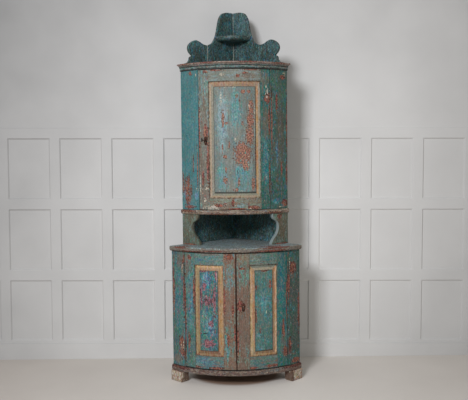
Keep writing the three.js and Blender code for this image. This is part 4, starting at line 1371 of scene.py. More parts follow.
class Mesher:
    """Turns shells into objects that ride on the frame."""

    def __init__(self, shop: PaintShop) -> None:
        """Keeps the paint shop.

        Args:
            shop: Where materials come from.
        """
        self.shop = shop
        self.iron = shop.wrought_iron("wrought_iron")

    def make(self, name: str, shell: Shell, material: bpy.types.Material, body: str,
             replaces: Sequence[str] = (), crease: float = 50.0) -> None:
        """Makes one piece.

        Args:
            name: Its name.
            shell: Its surface in millimetres.
            material: Its material.
            body: The body that it rides on.
            replaces: CAD nodes that it stands for.
            crease: Edges sharper than this stay sharp, in degrees.
        """
        mesh = bpy.data.meshes.new(name)
        mesh.from_pydata((shell.points * METRE).tolist(), [], shell.faces)
        mesh.attributes.new("edge", "FLOAT", "POINT").data.foreach_set("value", shell.edge.astype(np.float32))
        mesh.validate()
        mesh.shade_smooth()
        mesh.set_sharp_from_angle(angle=math.radians(crease))
        mesh.materials.append(material)
        piece = bpy.data.objects.new(name, mesh)
        bpy.context.scene.collection.objects.link(piece)
        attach(piece, body)
        if replaces:
            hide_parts(*replaces)
        LOG.info("%s: %d faces on %s", name, len(shell.faces), body)

    def painted(self, name: str, shell: Shell, finish: Paint, body: str) -> None:
        """Makes one painted piece that stands for no CAD node."""
        self.make(name, shell, self.shop.paint(finish), body)

    def stand_in(self, node: str, shell: Shell, finish: Paint, body: str = "case",
                 crease: float = 35.0, ending: str = "worn") -> None:
        """Makes the painted piece that stands for one CAD node.

        Args:
            node: The node's name, with which the piece's name starts.
            shell: The piece's surface in millimetres.
            finish: Its paint.
            body: The body that it rides on.
            crease: Edges sharper than this stay sharp, in degrees.
            ending: The last word of the piece's name.
        """
        self.make(f"{node}_{ending}", shell, self.shop.paint(finish), body, (node,), crease)

    def dress(self, node: str, material: bpy.types.Material) -> None:
        """Gives a CAD node's own object a better material."""
        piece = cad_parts[node]
        piece.data.materials.clear()
        piece.data.materials.append(material)


@dataclass
class Door:
    """A framed bow-front door with a fielded panel.

    The panel's tongue runs in the frame. Its face there lies a groove's depth behind the bow, rises over the
    band, and steps up to the field beyond a hollow. Pegs stand in from the opening's corners.
    """

    name: str
    radius: float
    start: float
    end: float
    low: float
    high: float
    start_stile: float
    end_stile: float
    top_rail: float
    bottom_rail: float
    stiles: tuple[str, str]
    finishes: tuple[Paint, Paint, Paint, Paint, Paint]
    tongue: float = 8.5
    groove_out: float = 9.3
    back_in: float = 7.3
    rise: float = 4.0
    field_step: float = 4.0
    step_width: float = 4.0
    hollow: float = 0.9
    hollow_width: float = 1.6
    soft: float = 5.0
    sway: float = 0.35
    sway_wave: float = 150.0
    peg_in: float = 20.0
    peg_levels: tuple[float, float] = (22.0, 18.0)

    def along(self, distance: float) -> float:
        """The angle at a distance along the bow from the door's first edge."""
        return self.start + math.degrees(distance / self.radius)

    def opening(self) -> tuple[float, float, float, float]:
        """First and last angle, lower and upper edge of the opening in the frame."""
        end = self.end - math.degrees(self.end_stile / self.radius)
        return self.along(self.start_stile), end, self.low + self.bottom_rail, self.high - self.top_rail

    def stile(self, start: float, end: float, seed: int) -> Shell:
        """An upright of the frame, between two angles."""
        scale = math.radians(1) * self.radius
        corners = box_section(start * scale, end * scale, self.radius - BOARD, self.radius)
        return carried(corners, self.low, self.high, Wear(seed=seed), upright(self.radius), 8.0, (0, 1))

    def panel(self) -> Shell:
        """The fielded panel: its face's radius is a function of the distance d to the nearest edge.

        It is flat on the tongue, rises slowly over the band, then by a soft step to the flat field, with a
        small hollow at the foot of the step.
        """
        start, end, low, high = self.opening()
        scale = math.radians(1) * self.radius
        reach, foot = self.tongue, self.tongue + BAND
        near = np.concatenate([
            np.linspace(0, reach, 3), np.linspace(reach, foot, 9)[1:],
            np.linspace(foot, foot + self.soft, 9)[1:],
        ])

        def lines(first: float, last: float, count: int) -> Array:
            """Grid lines close together at both ends."""
            middle = np.linspace(first + near[-1], last - near[-1], count)[1:-1]
            return np.concatenate([first + near, middle, last - near[::-1]])

        across = lines(start * scale - reach, end * scale + reach, 24)[:, None]
        up = lines(low - reach, high + reach, 60)[None, :]
        beside = np.minimum(across - across[0, 0], across[-1, 0] - across)
        distance = np.minimum(beside, np.minimum(up - up[0, 0], up[0, -1] - up))
        slope = np.clip((distance - reach) / BAND, 0, 1) * self.rise
        step = smooth((distance - foot) / self.step_width) * self.field_step
        hollow = self.hollow * np.exp(-(((distance - foot) / self.hollow_width) ** 2))
        sway = self.sway * wobble(across, self.sway_wave, 5) * (distance > foot + self.soft)
        front = place(across / scale, self.radius - self.groove_out + slope + step - hollow + sway, up)
        back = place(across / scale, np.full_like(distance, self.radius - BOARD + self.back_in), up)
        edge = np.clip(1 - np.abs(distance - foot - 3.4) / 3.0, 0, 1)
        return two_sided(front, back, edge)

    def pegs(self) -> Shell:
        """Two wooden pegs through each corner joint, a hair proud of the face."""
        start, end, low, high = self.opening()
        aside = math.degrees(self.peg_in / self.radius)
        outer, inner = self.peg_levels
        profile = np.array([[0.05, -3.0], [3.6, -3.0], [3.6, 0.15], [3.2, 0.4], [0.05, 0.5]])
        pegs = []
        for angle in (start - aside, end + aside):
            for level in (self.low + outer, low - inner, high + inner, self.high - outer):
                setting = at_bow(angle, self.radius, level)
                pegs.append(turned_round(profile, 10, lambda p, s=setting: s(p[..., [0, 2, 1]])))
        return joined(pegs)

    def build(self, mesher: Mesher) -> None:
        """Makes the five members and the pegs."""
        start, end, low, high = self.opening()
        hair = math.degrees(HAIR / self.radius)
        rails = self.radius, start + hair, end - hair
        shells = (
            self.stile(self.start, start, 3), self.stile(end, self.end, 4),
            bent_rail(*rails, high, self.high, Wear(1.4, seed=5, end=0.5)),
            bent_rail(*rails, self.low, low, Wear(1.4, seed=6, end=0.5)), self.panel(),
        )
        opening = Opening(start, end, low, high, self.radius, BAND)
        finishes = (*self.finishes[:4], replace(self.finishes[4], opening=opening))
        slots = ("door_paint",) * 4 + ("field_paint",)
        members = (*self.stiles, "top_rail", "bottom_rail", "panel")
        for member, shell, finish, slot in zip(members, shells, finishes, slots):
            mesher.stand_in(f"{self.name}_{member}", shell, finish, self.name)
        first = self.finishes[0]
        peg_paint = replace(first, name=f"{first.name}_pegs", places=())
        mesher.painted(f"{self.name}_pegs", self.pegs(), peg_paint, self.name)


@dataclass(frozen=True)
class Pocket:
    """A mortise in the underside of a board: angle, half width in degrees, radii and depth."""

    angle: float
    half: float
    inner: float
    outer: float
    depth: float
    lip: float = 0.1

    def radii(self) -> Array:
        """The radii where its two upright faces start and end."""
        return np.array([self.inner, self.inner + self.lip, self.outer - self.lip, self.outer])

    def angles(self) -> Array:
        """The angles where its two side faces start and end."""
        near = self.half - self.lip * self.half
        return self.angle + np.array([-self.half, -near, near, self.half])


@dataclass
class Moulding:
    """A profile of radius and height, carried round the bow from wall to wall.

    Its outer part is worn down to the worn depth, and its paint to the edge depth.
    """

    profile: Array
    seed: int
    uneven: float
    pocket: Pocket | None = None
    steps: int = 120
    spacing: float = 11.0
    sway_wave: float = 210.0
    nick_wave: float = 60.0
    worn_depth: float = 30.0
    edge_depth: float = 9.0

    def build(self) -> Shell:
        """The moulding's shell: its outer points sway a little along the bow."""
        angles = np.linspace(-WALL_ANGLE, WALL_ANGLE, self.steps + 1)
        profile, pocket = self.profile, self.pocket
        if pocket:
            angles = np.sort(np.concatenate([angles, pocket.angles()]))
            lips = np.stack([pocket.radii(), np.full(4, profile[0, 1])], axis=-1)
            profile = np.vstack([profile[:1], lips, profile[1:]])
        ring, _ = divided(profile[None], np.zeros(len(profile)), self.spacing)
        out, up = ring[0, :, 0], ring[0, :, 1]
        along, deep = angles * math.radians(1) * out.max(), out.max() - out
        sway = wobble(along, self.sway_wave, self.seed)[:, None] * self.uneven
        nick = np.maximum(0, wobble(along, self.nick_wave, self.seed + 40) - 0.8)[:, None] * 3.0
        far = np.clip(1 - deep / self.worn_depth, 0, 1)[None, :]
        radius = out[None, :] + far * (sway - self.uneven - nick * self.uneven)
        rise = up[None, :] - far * 0.4 * nick * np.sign(up - up.mean())[None, :]
        if pocket:
            within = (np.abs(angles - pocket.angle) < pocket.half * (1 - pocket.lip / 2))[:, None]
            level = up[0]
            near, far_side = pocket.inner + pocket.lip / 2, pocket.outer - pocket.lip / 2
            under = (np.abs(up - level) < 0.01) & (out > near) & (out < far_side)
            rise = np.where(within & under[None, :], level + pocket.depth, rise)
        edge = np.repeat(0.8 * np.clip(1 - deep / self.edge_depth, 0, 1)[None, :], len(angles), axis=0)
        return loft(place(angles[:, None], np.maximum(radius, 1.0), rise), edge)


def nosed(radius: float, low: float, high: float, lower: float, upper: float, inner: float = 1.0) -> Array:
    """The profile of a board whose bowed edge is rounded below and above, counter-clockwise."""
    return np.vstack([
        [[inner, low]], rounded((radius - lower, low + lower), lower, -90, 0),
        rounded((radius - upper, high - upper), upper, 0, 90), [[inner, high]],
    ])


@dataclass
class LowerCase:
    """Feet, base board, stiles and the two doors under the counter."""

    radius: float = 554.0
    base_low: float = 64.0
    body_low: float = 96.0
    counter_low: float = 800.0
    joint: float = 34.2
    base_out: float = 13.0
    counter_out: float = 19.0
    meeting_half_gap: float = 1.5
    hinge_stile: float = 71.0
    left_meeting: float = 74.0
    right_meeting: float = 79.0
    top_rail: float = 71.0
    bottom_rail: float = 75.0
    bolt_aside: float = 40.0
    bolt_half: float = 0.8
    bolt_inner: float = 520.6
    bolt_outer: float = 530.0
    bolt_deep: float = 14.4
    foot_width: float = 97.0
    foot_depth: float = 61.0
    foot_front: float = 512.0
    back_foot: float = 78.0

    def feet(self, mesher: Mesher) -> None:
        """Three square feet with worn corners, carried upwards."""
        near, far = self.foot_front, self.foot_front + self.foot_depth
        plans = {
            "foot_front_left": (0.0, self.foot_width, near, far),
            "foot_front_right": (near, far, 0.0, self.foot_width),
            "foot_back": (0.0, self.back_foot, 0.0, self.back_foot),
        }
        for name, plan in plans.items():
            corners = box_section(*plan)
            wear = Wear(5.0, 0.8, 40.0, 4.0, len(name))
            shell = carried(corners, 0.0, self.base_low - HAIR, wear, against_walls, 7.0)
            shell.points[:, 2] = np.clip(shell.points[:, 2], 0.0, None)
            mesher.stand_in(name, shell, FOOT, crease=50.0)

    def doors(self) -> tuple[Door, Door]:
        """The left and the right leaf."""
        turn = math.degrees(1 / self.radius)
        edge = self.joint - JOINT_HALF_GAP * turn
        meet = self.meeting_half_gap * turn
        low, high = self.body_low + DOOR_GAP, self.counter_low - DOOR_GAP
        rails = self.top_rail, self.bottom_rail
        left = Door(
            "lower_left_door", self.radius, -edge, -meet, low, high, self.hinge_stile, self.left_meeting,
            *rails, ("hinge_stile", "meeting_stile"),
            (LEFT_DOOR, LEFT_MEETING, LEFT_RAILS, LEFT_RAILS, LEFT_FIELD),
        )
        right = Door(
            "lower_right_door", self.radius, meet, edge, low, high, self.right_meeting, self.hinge_stile,
            *rails, ("meeting_stile", "hinge_stile"),
            (RIGHT_MEETING, RIGHT_HINGE, RIGHT_RAILS, RIGHT_RAILS, RIGHT_FIELD),
        )
        return left, right

    def build(self, mesher: Mesher) -> None:
        """Makes the lower case."""
        self.feet(mesher)
        profile = nosed(self.radius + self.base_out, self.base_low, self.body_low - HAIR, 4, 11)
        base = Moulding(profile, 21, 0.8).build()
        mesher.stand_in("base_board", base, BASE, crease=60.0)
        for side, name, finish in ((-1, "left", LOWER_LEFT), (1, "right", LOWER_RIGHT)):
            shell = case_stile(side, self.radius, self.joint, self.body_low, self.counter_low, 30 + side)
            mesher.stand_in(f"lower_stile_{name}", shell, finish)
        for door in self.doors():
            door.build(mesher)
        angle = -math.degrees(self.bolt_aside / (self.radius - BOARD))
        mortise = Pocket(angle, self.bolt_half, self.bolt_inner, self.bolt_outer, self.bolt_deep)
        profile = nosed(self.radius + self.counter_out, self.counter_low, COUNTER_HIGH - HAIR, 14, 5)
        counter = Moulding(profile, 23, 1.0, mortise).build()
        mesher.stand_in("counter_top", counter, COUNTER, crease=60.0)


@dataclass
class UpperCase:
    """Niche cheeks, waist, stiles, door, cornice and the sawn crest."""

    radius: float = 462.0
    niche: float = 190.0
    waist: float = 28.0
    body_high: float = 1893.0
    cornice_high: float = 1934.0
    crest_rise: float = 369.0
    joint: float = 28.0
    waist_out: float = 12.0
    lock_stile: float = 66.0
    hinge_stile: float = 60.0
    top_rail: float = 70.0
    bottom_rail: float = 68.0
    cheek_width: float = 137.0
    cheek_saw: float = 31.0
    wall: float = 18.0
    plank_joint: float = 250.0
    shelf_radius: float = 176.0
    shelf_low: float = 2107.0
    shelf_high: float = 2137.0
    filler_high: float = 2074.0
    brow_steps: int = 130
    plank_ease: float = 2.2

    def waist_low(self) -> float:
        """The underside of the waist board."""
        return COUNTER_HIGH + self.niche

    def waist_high(self) -> float:
        """The top of the waist board."""
        return self.waist_low() + self.waist

    def wall_length(self) -> float:
        """How far a wall board reaches, from the corner to the back of the stile."""
        return math.sqrt((self.radius - BOARD) ** 2 - self.wall**2) - HAIR

    def crest_outline(self) -> Array:
        """The outline of one wall and its crest, as distance along the wall and height."""
        brow = [
            (0, 1), (0.155, 0.996), (0.255, 0.962), (0.308, 0.889), (0.331, 0.826), (0.347, 0.752),
            (0.365, 0.668), (0.384, 0.583), (0.417, 0.503), (0.460, 0.437), (0.508, 0.404), (0.574, 0.379),
            (0.652, 0.388), (0.722, 0.421), (0.794, 0.436), (0.867, 0.399), (0.917, 0.347), (0.934, 0.285),
            (0.913, 0.222), (0.862, 0.171),
        ]
        step = [(0.862, 0.171), (0.902, 0.140), (0.913, 0.092), (0.950, 0.046), (1, 0.028)]
        shares = np.vstack([smooth_curve(brow, self.brow_steps), smooth_curve(step, 24)[1:]])
        return np.minimum(shares, 1) * [self.wall_length(), self.crest_rise - 0.2] + [0, self.cornice_high]

    def plank(self, side: int, start: float, end: float) -> Shell:
        """One upright plank of a wall, sawn to the crest's outline and carried through its thickness.

        Args:
            side: -1 for the left wall, 1 for the right one.
            start: Where it starts along the wall.
            end: Where it ends along the wall.

        Returns:
            The closed shell.
        """
        curve = self.crest_outline()
        level = lambda x: np.interp(x, *curve[np.argsort(curve[:self.brow_steps, 0])].T)
        outermost = end >= self.wall_length()
        between = curve[(curve[:, 0] > start + 0.5) & (outermost | (curve[:, 0] < end - 0.5))]
        corner = [] if outermost else [[end, level(end)]]
        feet = [[end, COUNTER_HIGH], [start, COUNTER_HIGH]]
        outline = np.array([[start, level(start)], *between.tolist(), *corner, *feet])[::-1]
        ring, _ = divided(outline[None], np.zeros(len(outline)), 14.0)

        def stand(along: Array, up: Array, deep: Array) -> Array:
            """Points of a wall from distance along it, height and depth from its outer face."""
            return against_walls(along, deep, up) if side > 0 else against_walls(deep, along, up)

        return sawn(ring[0], 0.0, self.wall, self.plank_ease, stand)

    def cheek(self, side: int) -> Shell:
        """A niche cheek: a bent board whose free edge is sawn to a bracket and a belly.

        Its width is a function of height. The saw went straight through, so the back is cut at another angle.
        """
        bracket = smooth_curve([
            (0.927, 1), (0.920, 0.930), (0.861, 0.842), (0.760, 0.785), (0.672, 0.748),
        ], 22)
        belly = smooth_curve([
            (0.672, 0.748), (0.610, 0.680), (0.588, 0.570), (0.613, 0.463), (0.693, 0.337), (0.818, 0.232),
            (0.920, 0.137), (0.978, 0.063), (1, 0),
        ], 48)[1:]
        edge_line = np.vstack([bracket, belly])[::-1]
        height = COUNTER_HIGH + edge_line[:, 1] * (self.niche - HAIR)
        width = edge_line[:, 0] * self.cheek_width
        offset = self.radius * np.sin(np.radians(WALL_ANGLE - self.cheek_saw) - width / self.radius)

        def sheet(radius: float, drawn: float) -> Array:
            """One face of the cheek at a radius, its free edge drawn back a little."""
            free = self.cheek_saw + np.degrees(np.arcsin((offset + drawn) / radius))
            share = np.concatenate([[0.0], np.linspace(0.004, 0.985, 16), [1.0]])[None, :]
            angle = WALL_ANGLE + (free[:, None] - WALL_ANGLE) * share
            return place(side * angle, radius, height[:, None])

        # The free edge is rounded in three turns, each with its radius and how far it is drawn back
        outer, inner = self.radius, self.radius - BOARD
        turns = ((outer - 0.6, 0.45), (outer - 1.8, 0.0), (inner + 1.2, 0.0))
        front, back = sheet(outer, 1.6), sheet(inner, 1.2)
        columns = front.shape[1]
        rim = [sheet(radius, drawn)[:, -1:] for radius, drawn in turns]
        ring = np.concatenate([front[:, :-1], *rim, back[:, :-1][:, ::-1]], axis=1)
        edge = np.zeros(ring.shape[:2])
        edge[:, columns - 2:columns + 3] = 0.9
        edge[:2] = np.maximum(edge[:2], 0.7)
        edge[-2:] = np.maximum(edge[-2:], 0.5)
        return loft(ring, edge)

    def crest_shelf(self) -> Shell:
        """The small shelf: its nosed profile is carried between the walls, whose faces limit the angle."""
        ring = nosed(self.shelf_radius, self.shelf_low, self.shelf_high, 20, 4, 30.0)[None]
        ring, mark = divided(ring, np.full(ring.shape[1], 0.4), 9.0)
        out, up = ring[0, :, 0][None, :], ring[0, :, 1][None, :]
        limit = WALL_ANGLE - np.degrees(np.arcsin((self.wall + HAIR) / out))
        share = np.linspace(-1, 1, 41)[:, None]
        edge = np.repeat(np.where(out > 150, mark, 0.1), len(share), axis=0)
        return loft(place(share * limit, out, up), edge)

    def filler(self) -> Shell:
        """Three beads of pale filler, a thin section carried up a seam: two in the corner, one at a joint.

        Each run has its seam's distance from the corner, half its width, its foot and its top.
        """
        wear = Wear(0.5, 0.5, 90.0, 0.4, 61)
        foot, near = self.cornice_high + HAIR, self.wall - 0.2
        runs = (
            (self.wall + 0.6, 2.2, foot, self.shelf_low - 1.0),
            (self.wall + 0.6, 2.2, self.shelf_high + 0.5, self.cornice_high + self.crest_rise - 3.0),
            (self.plank_joint - HAIR / 2, 2.4, foot, self.filler_high),
        )
        beads = []
        for seam, wide, low, high in runs:
            section = box_section(near, near + wide, seam - wide, seam + wide)
            beads.append(carried(section, low, high, wear, against_walls, 12.0))
        return joined(beads)

    def cornice(self) -> Shell:
        """The cornice: a foot, a cove and a top fillet, with small rounds at their corners."""
        r, low, high = self.radius, self.body_high, self.cornice_high
        turn = np.radians(np.linspace(0, 90, 10))
        cove = np.stack([r + 25 - 19 * np.cos(turn), low + 4 + 28 * np.sin(turn)], axis=-1)
        profile = np.vstack([
            [[r + HAIR, low]], rounded((r + 5.0, low + 1.0), 1.0, -90, 0, 3), cove,
            rounded((r + 27.4, high - 7.6), 1.4, -90, 0, 3), rounded((r + 26.5, high - 2.3), 2.3, 0, 90, 4),
            [[r + HAIR, high]],
        ])
        return Moulding(profile, 27, 0.6).build()

    def door(self) -> Door:
        """The upper door."""
        edge = self.joint - math.degrees(JOINT_HALF_GAP / self.radius)
        low, high = self.waist_high() + DOOR_GAP, self.body_high - DOOR_GAP
        return Door(
            "upper_door", self.radius, -edge, edge, low, high, self.lock_stile, self.hinge_stile,
            self.top_rail, self.bottom_rail, ("lock_stile", "hinge_stile"),
            (LOCK_STILE, UPPER_HINGE_STILE, UPPER_TOP_RAIL, UPPER_BOTTOM_RAIL, UPPER_FIELD),
        )

    def side(self, mesher: Mesher, side: int, name: str, cheek: Paint, stile: Paint) -> None:
        """Makes the cheek, the stile and the two planks of one side.

        Args:
            mesher: What makes the pieces.
            side: -1 for the left side, 1 for the right one.
            name: The side's name.
            cheek: The cheek's paint.
            stile: The stile's paint.
        """
        mesher.stand_in(f"niche_cheek_{name}", self.cheek(side), cheek, crease=40.0)
        shell = case_stile(side, self.radius, self.joint, self.waist_high(), self.body_high, 50 + side)
        mesher.stand_in(f"upper_stile_{name}", shell, stile)
        corner = self.wall + HAIR if side < 0 else 0.0
        spans = {"inner": (corner, self.plank_joint - HAIR), "outer": (self.plank_joint, self.wall_length())}
        for part, span in spans.items():
            shell = self.plank(side, *span)
            mesher.stand_in(f"upper_back_{name}_{part}", shell, CREST, ending="sawn")

    def build(self, mesher: Mesher) -> None:
        """Makes the upper case."""
        self.side(mesher, -1, "left", CHEEK, UPPER_LEFT)
        self.side(mesher, 1, "right", RIGHT_CHEEK, UPPER_RIGHT)
        low, high = self.waist_low(), self.waist_high() - HAIR
        profile = nosed(self.radius + self.waist_out, low, high, 12, 8, self.wall + 20)
        waist = Moulding(profile, 25, 0.7).build()
        mesher.stand_in("waist_board", waist, WAIST, crease=60.0)
        mesher.stand_in("cornice", self.cornice(), CORNICE, crease=40.0)
        mesher.painted("crest_filler", self.filler(), FILLER, "case")
        mesher.stand_in("crest_shelf", self.crest_shelf(), CREST, crease=50.0)
        self.door().build(mesher)


@dataclass
class Ironwork:
    """Hinges, keyhole plates and the key.

    A hinge pair has its heights above the door opening's foot and below its head. A lock has the distance
    of its keyhole along the bow from the door's first edge, and the keyhole's height.
    """

    knuckle: float = 4.5
    half_height: float = 40.0
    leaf_gap: float = 0.4
    leaf: float = 1.1
    depth: float = 18.0
    wear: Wear = Wear(0.25, 0.3, end=0.3)
    lower_hinges: tuple[float, float] = (128.0, 106.0)
    upper_hinges: tuple[float, float] = (130.0, 138.0)
    upper_lock: tuple[float, float] = (46.8, 1470.0)
    lower_lock: tuple[float, float] = (41.5, 479.0)
    plate_width: float = 26.0
    plate_height: float = 54.0
    hole: float = 4.0
    slot_half: float = 2.2
    slot_drop: float = 15.0
    plate_drop: float = 4.0
    shank: float = 3.0
    ring: float = 11.0
    wire: float = 2.3

    def hinge_half(self, radius: float, angle: float, middle: float, side: int, upper: bool) -> Shell:
        """Half a hinge: a rolled knuckle turned round the pin, with a leaf let into the wood beside it.

        Args:
            radius: The face of the front.
            angle: The joint.
            middle: Height of the hinge's middle.
            side: Which way the leaf lies from the joint.
            upper: Whether this half has the upper knuckle.

        Returns:
            The shell.
        """
        low, high = (0.1, self.half_height) if upper else (-self.half_height, -0.2)
        r = self.knuckle
        cap = [[0.05, high], [r * 0.55, high - 0.1], [r * 0.9, high - 0.9], [r, high - 2.0]]
        foot = [[r, low + 1.2], [r * 0.93, low + 0.2], [0.05, low]]
        profile = np.array((cap + foot)[::-1])
        out = HAIR + r
        setting = at_bow(angle, radius, middle)
        knuckle = turned_round(profile, 20, lambda p: setting(p + [0.0, out, 0.0]))
        near, far = sorted((side * self.leaf_gap / 2, side * (self.leaf_gap / 2 + self.leaf)))
        stand = lambda x, y, z: setting(stacked(x, y, z))
        leaf = box_section(near, far, -self.depth, -HAIR)
        plate = carried(leaf, -self.half_height, self.half_height, self.wear, stand)
        tab = carried(box_section(near, far, -2.0, out), low + 0.5, high - 0.5, self.wear, stand)
        return joined([knuckle, plate, tab])

    def keyhole(self, steps: int) -> Array:
        """The outline of a keyhole: a round over a slot, with so many points."""
        hole, half, drop = self.hole, self.slot_half, self.slot_drop
        low = math.degrees(math.asin(half / hole))
        ring = rounded((0.0, 0.0), hole, -90 + low, 270 - low, steps - 5)
        foot = math.sqrt(hole**2 - half**2) + self.plate_drop
        slot = np.array([[-half, -foot], [-half, -drop], [half, -drop], [half, -foot]])
        return np.vstack([ring, slot])

    def escutcheon(self, radius: float, angle: float, height: float) -> Shell:
        """An oval plate bent to the bow: rings run from its keyhole over the domed face to the back.

        Args:
            radius: The face of the front.
            angle: Where on the bow.
            height: Height of the keyhole.

        Returns:
            The closed shell.
        """
        hole = self.keyhole(46)
        turn = np.arctan2(hole[:, 1] + self.plate_drop, hole[:, 0])
        rim = [self.plate_width, self.plate_height] * np.stack([np.cos(turn), np.sin(turn)], axis=-1) / 2
        rim = rim - [0.0, self.plate_drop]
        domed = ((0.0, 0.35), (0.12, 1.65), (0.45, 1.6), (0.8, 1.3), (0.95, 0.95), (1.0, 0.55), (0.99, 0.35))
        share, out = np.array(domed).T[:, :, None]
        across, up = (hole[:, i] * (1 - share) + rim[:, i] * share for i in (0, 1))
        points = place(angle + np.degrees(across / radius), radius + out, height + up)
        return loft(points, np.full(points.shape[:2], 0.5), ring_closed=True)

    def key(self, radius: float, angle: float, height: float) -> Shell:
        """The key: a turned shank with collars and an oval bow of forged wire.

        Args:
            radius: The face of the front.
            angle: Where on the bow.
            height: Height of the keyhole.

        Returns:
            The shell.
        """
        setting = at_bow(angle, radius, height)
        r, middle = self.shank, 16.0 + self.ring
        shank = np.array([
            [0.05, -30], [r, -29.6], [r, 2.2], [r + 1.1, 2.8], [r + 1.1, 4.4], [r, 5.0], [r * 0.92, 11.0],
            [r + 1.0, 11.8], [r + 1.2, 13.0], [r + 0.6, 14.0], [r * 0.8, 16.6], [0.05, 17.0],
        ])
        stem = turned_round(shank, 18, lambda p: setting(p[..., [0, 2, 1]]))
        around = np.linspace(0, 2 * np.pi, 40, endpoint=False)[:, None]
        tube = np.linspace(0, 2 * np.pi, 12, endpoint=False)[None, :]
        wire = self.wire + 0.4 * np.cos(around)
        wide = self.ring + wire * np.cos(tube)
        local = stacked(wide * np.sin(around) * 1.05, middle - wide * np.cos(around), wire * np.sin(tube))
        bow = loft(setting(local), np.full(local.shape[:2], 0.4), ring_closed=True)
        section, wear = box_section(-1.5, 1.5, -27.0, -21.0), Wear(0.3, 0.3, end=0.3)
        bit = carried(section, -11.0, 0.0, wear, lambda x, y, z: setting(stacked(x, y, z)))
        return joined([stem, bow, bit])

    def hang(self, mesher: Mesher, door: Door, joint: float, levels: dict[str, float], coat: str) -> None:
        """Makes the hinges of a door.

        Args:
            mesher: What makes the pieces.
            door: The door.
            joint: Angle of its joint with the case.
            levels: Height of each hinge's middle, by name.
            coat: The colour that the iron is painted with.
        """
        name = door.name.removesuffix("_door")
        iron = mesher.shop.painted_iron(f"{name}_hinges_painted_iron", coat)
        side = 1 if joint > 0 else -1
        for where, level in levels.items():
            for half, body, way in (("door", door.name, -side), ("case", "case", side)):
                shell = self.hinge_half(door.radius, joint, level, way, half == "door")
                node = f"{name}_{where}_hinge_{half}"
                mesher.make(f"{node}_half", shell, iron, body, (f"{node}_leaf",))

    def build(self, mesher: Mesher, lower: LowerCase, upper: UpperCase) -> None:
        """Makes all the ironwork that shows."""
        left, right = lower.doors()
        door = upper.door()
        above, below = self.lower_hinges
        levels = {"bottom": lower.body_low + above, "top": lower.counter_low - below}
        self.hang(mesher, left, -lower.joint, levels, "#4c6663")
        self.hang(mesher, right, lower.joint, levels, "#46534d")
        above, below = self.upper_hinges
        levels = {"bottom": upper.waist_high() + above, "top": upper.body_high - below}
        self.hang(mesher, door, upper.joint, levels, "#4c605b")
        locks = (("upper", door, self.upper_lock), ("lower", right, self.lower_lock))
        for name, leaf, (aside, height) in locks:
            shell = self.escutcheon(leaf.radius, leaf.along(aside), height)
            node = f"{name}_escutcheon"
            mesher.make(f"{node}_forged", shell, mesher.iron, leaf.name, (node,))
        aside, height = self.upper_lock
        key = self.key(door.radius, door.along(aside), height)
        mesher.make("upper_key_forged", key, mesher.iron, "upper_key", ("upper_key",))


@dataclass
class PanelledWall:
    """The wall behind the cupboard: plain above, with framed panels below that lie a little deeper."""

    line: float = 352.0
    half_width: float = 1900.0
    top: float = 2700.0
    first: float = -1884.0
    pitch: float = 350.0
    panel: float = 286.0
    depth: float = 9.0
    bevel: float = 8.0
    skirting_out: float = 6.0
    wall_in: float = 5.0
    levels: tuple[tuple[float, float], ...] = ((118.0, 532.0), (601.0, 1017.0), (1085.0, 1496.0))
    skirting: float = 97.0
    rail_top: float = 1563.0
    turn: float = -0.5
    level: float = 900.0

    def lines(self, edges: Array, low: float, high: float) -> Array:
        """Grid lines close together at the given edges."""
        near = np.array([-3.0, -1.0, 0.0, 1.5, 4.0, 8.0])
        both = np.concatenate([(edges[:, None] + near).ravel(), (edges[:, None] - near).ravel(), [low, high]])
        return np.unique(np.clip(both, low, high))

    def surface(self) -> tuple[Array, list[tuple[int, ...]]]:
        """The wall: inside a panel its depth rises by a smooth step of the distance to the panel's edge.

        The whole is turned a little, as the photographed wall isn't quite square to the cupboard.

        Returns:
            Points in millimetres, and faces.
        """
        starts = np.arange(self.first, self.half_width, self.pitch)
        sides = np.concatenate([starts, starts + self.panel])
        x = self.lines(sides, -self.half_width, self.half_width)[None, :]
        edges = np.array([*np.ravel(self.levels), self.skirting, self.rail_top])
        z = self.lines(edges, -40.0, self.top)[:, None]
        along = (x - self.first) % self.pitch
        across = np.minimum(along, self.panel - along)
        tall = np.max([np.minimum(z - low, high - z) for low, high in self.levels], axis=0)
        deep = self.depth * smooth(np.minimum(across, tall) / self.bevel)
        deep = deep - self.skirting_out * (z < self.skirting) + self.wall_in * (z > self.rail_top)
        lean, up = math.radians(self.turn), z - self.level
        across, up = x * math.cos(lean) - up * math.sin(lean), x * math.sin(lean) + up * math.cos(lean)
        points = stacked(across, self.line + deep, up + self.level)
        return points.reshape(-1, 3), quads(z.size, x.size, False, False)


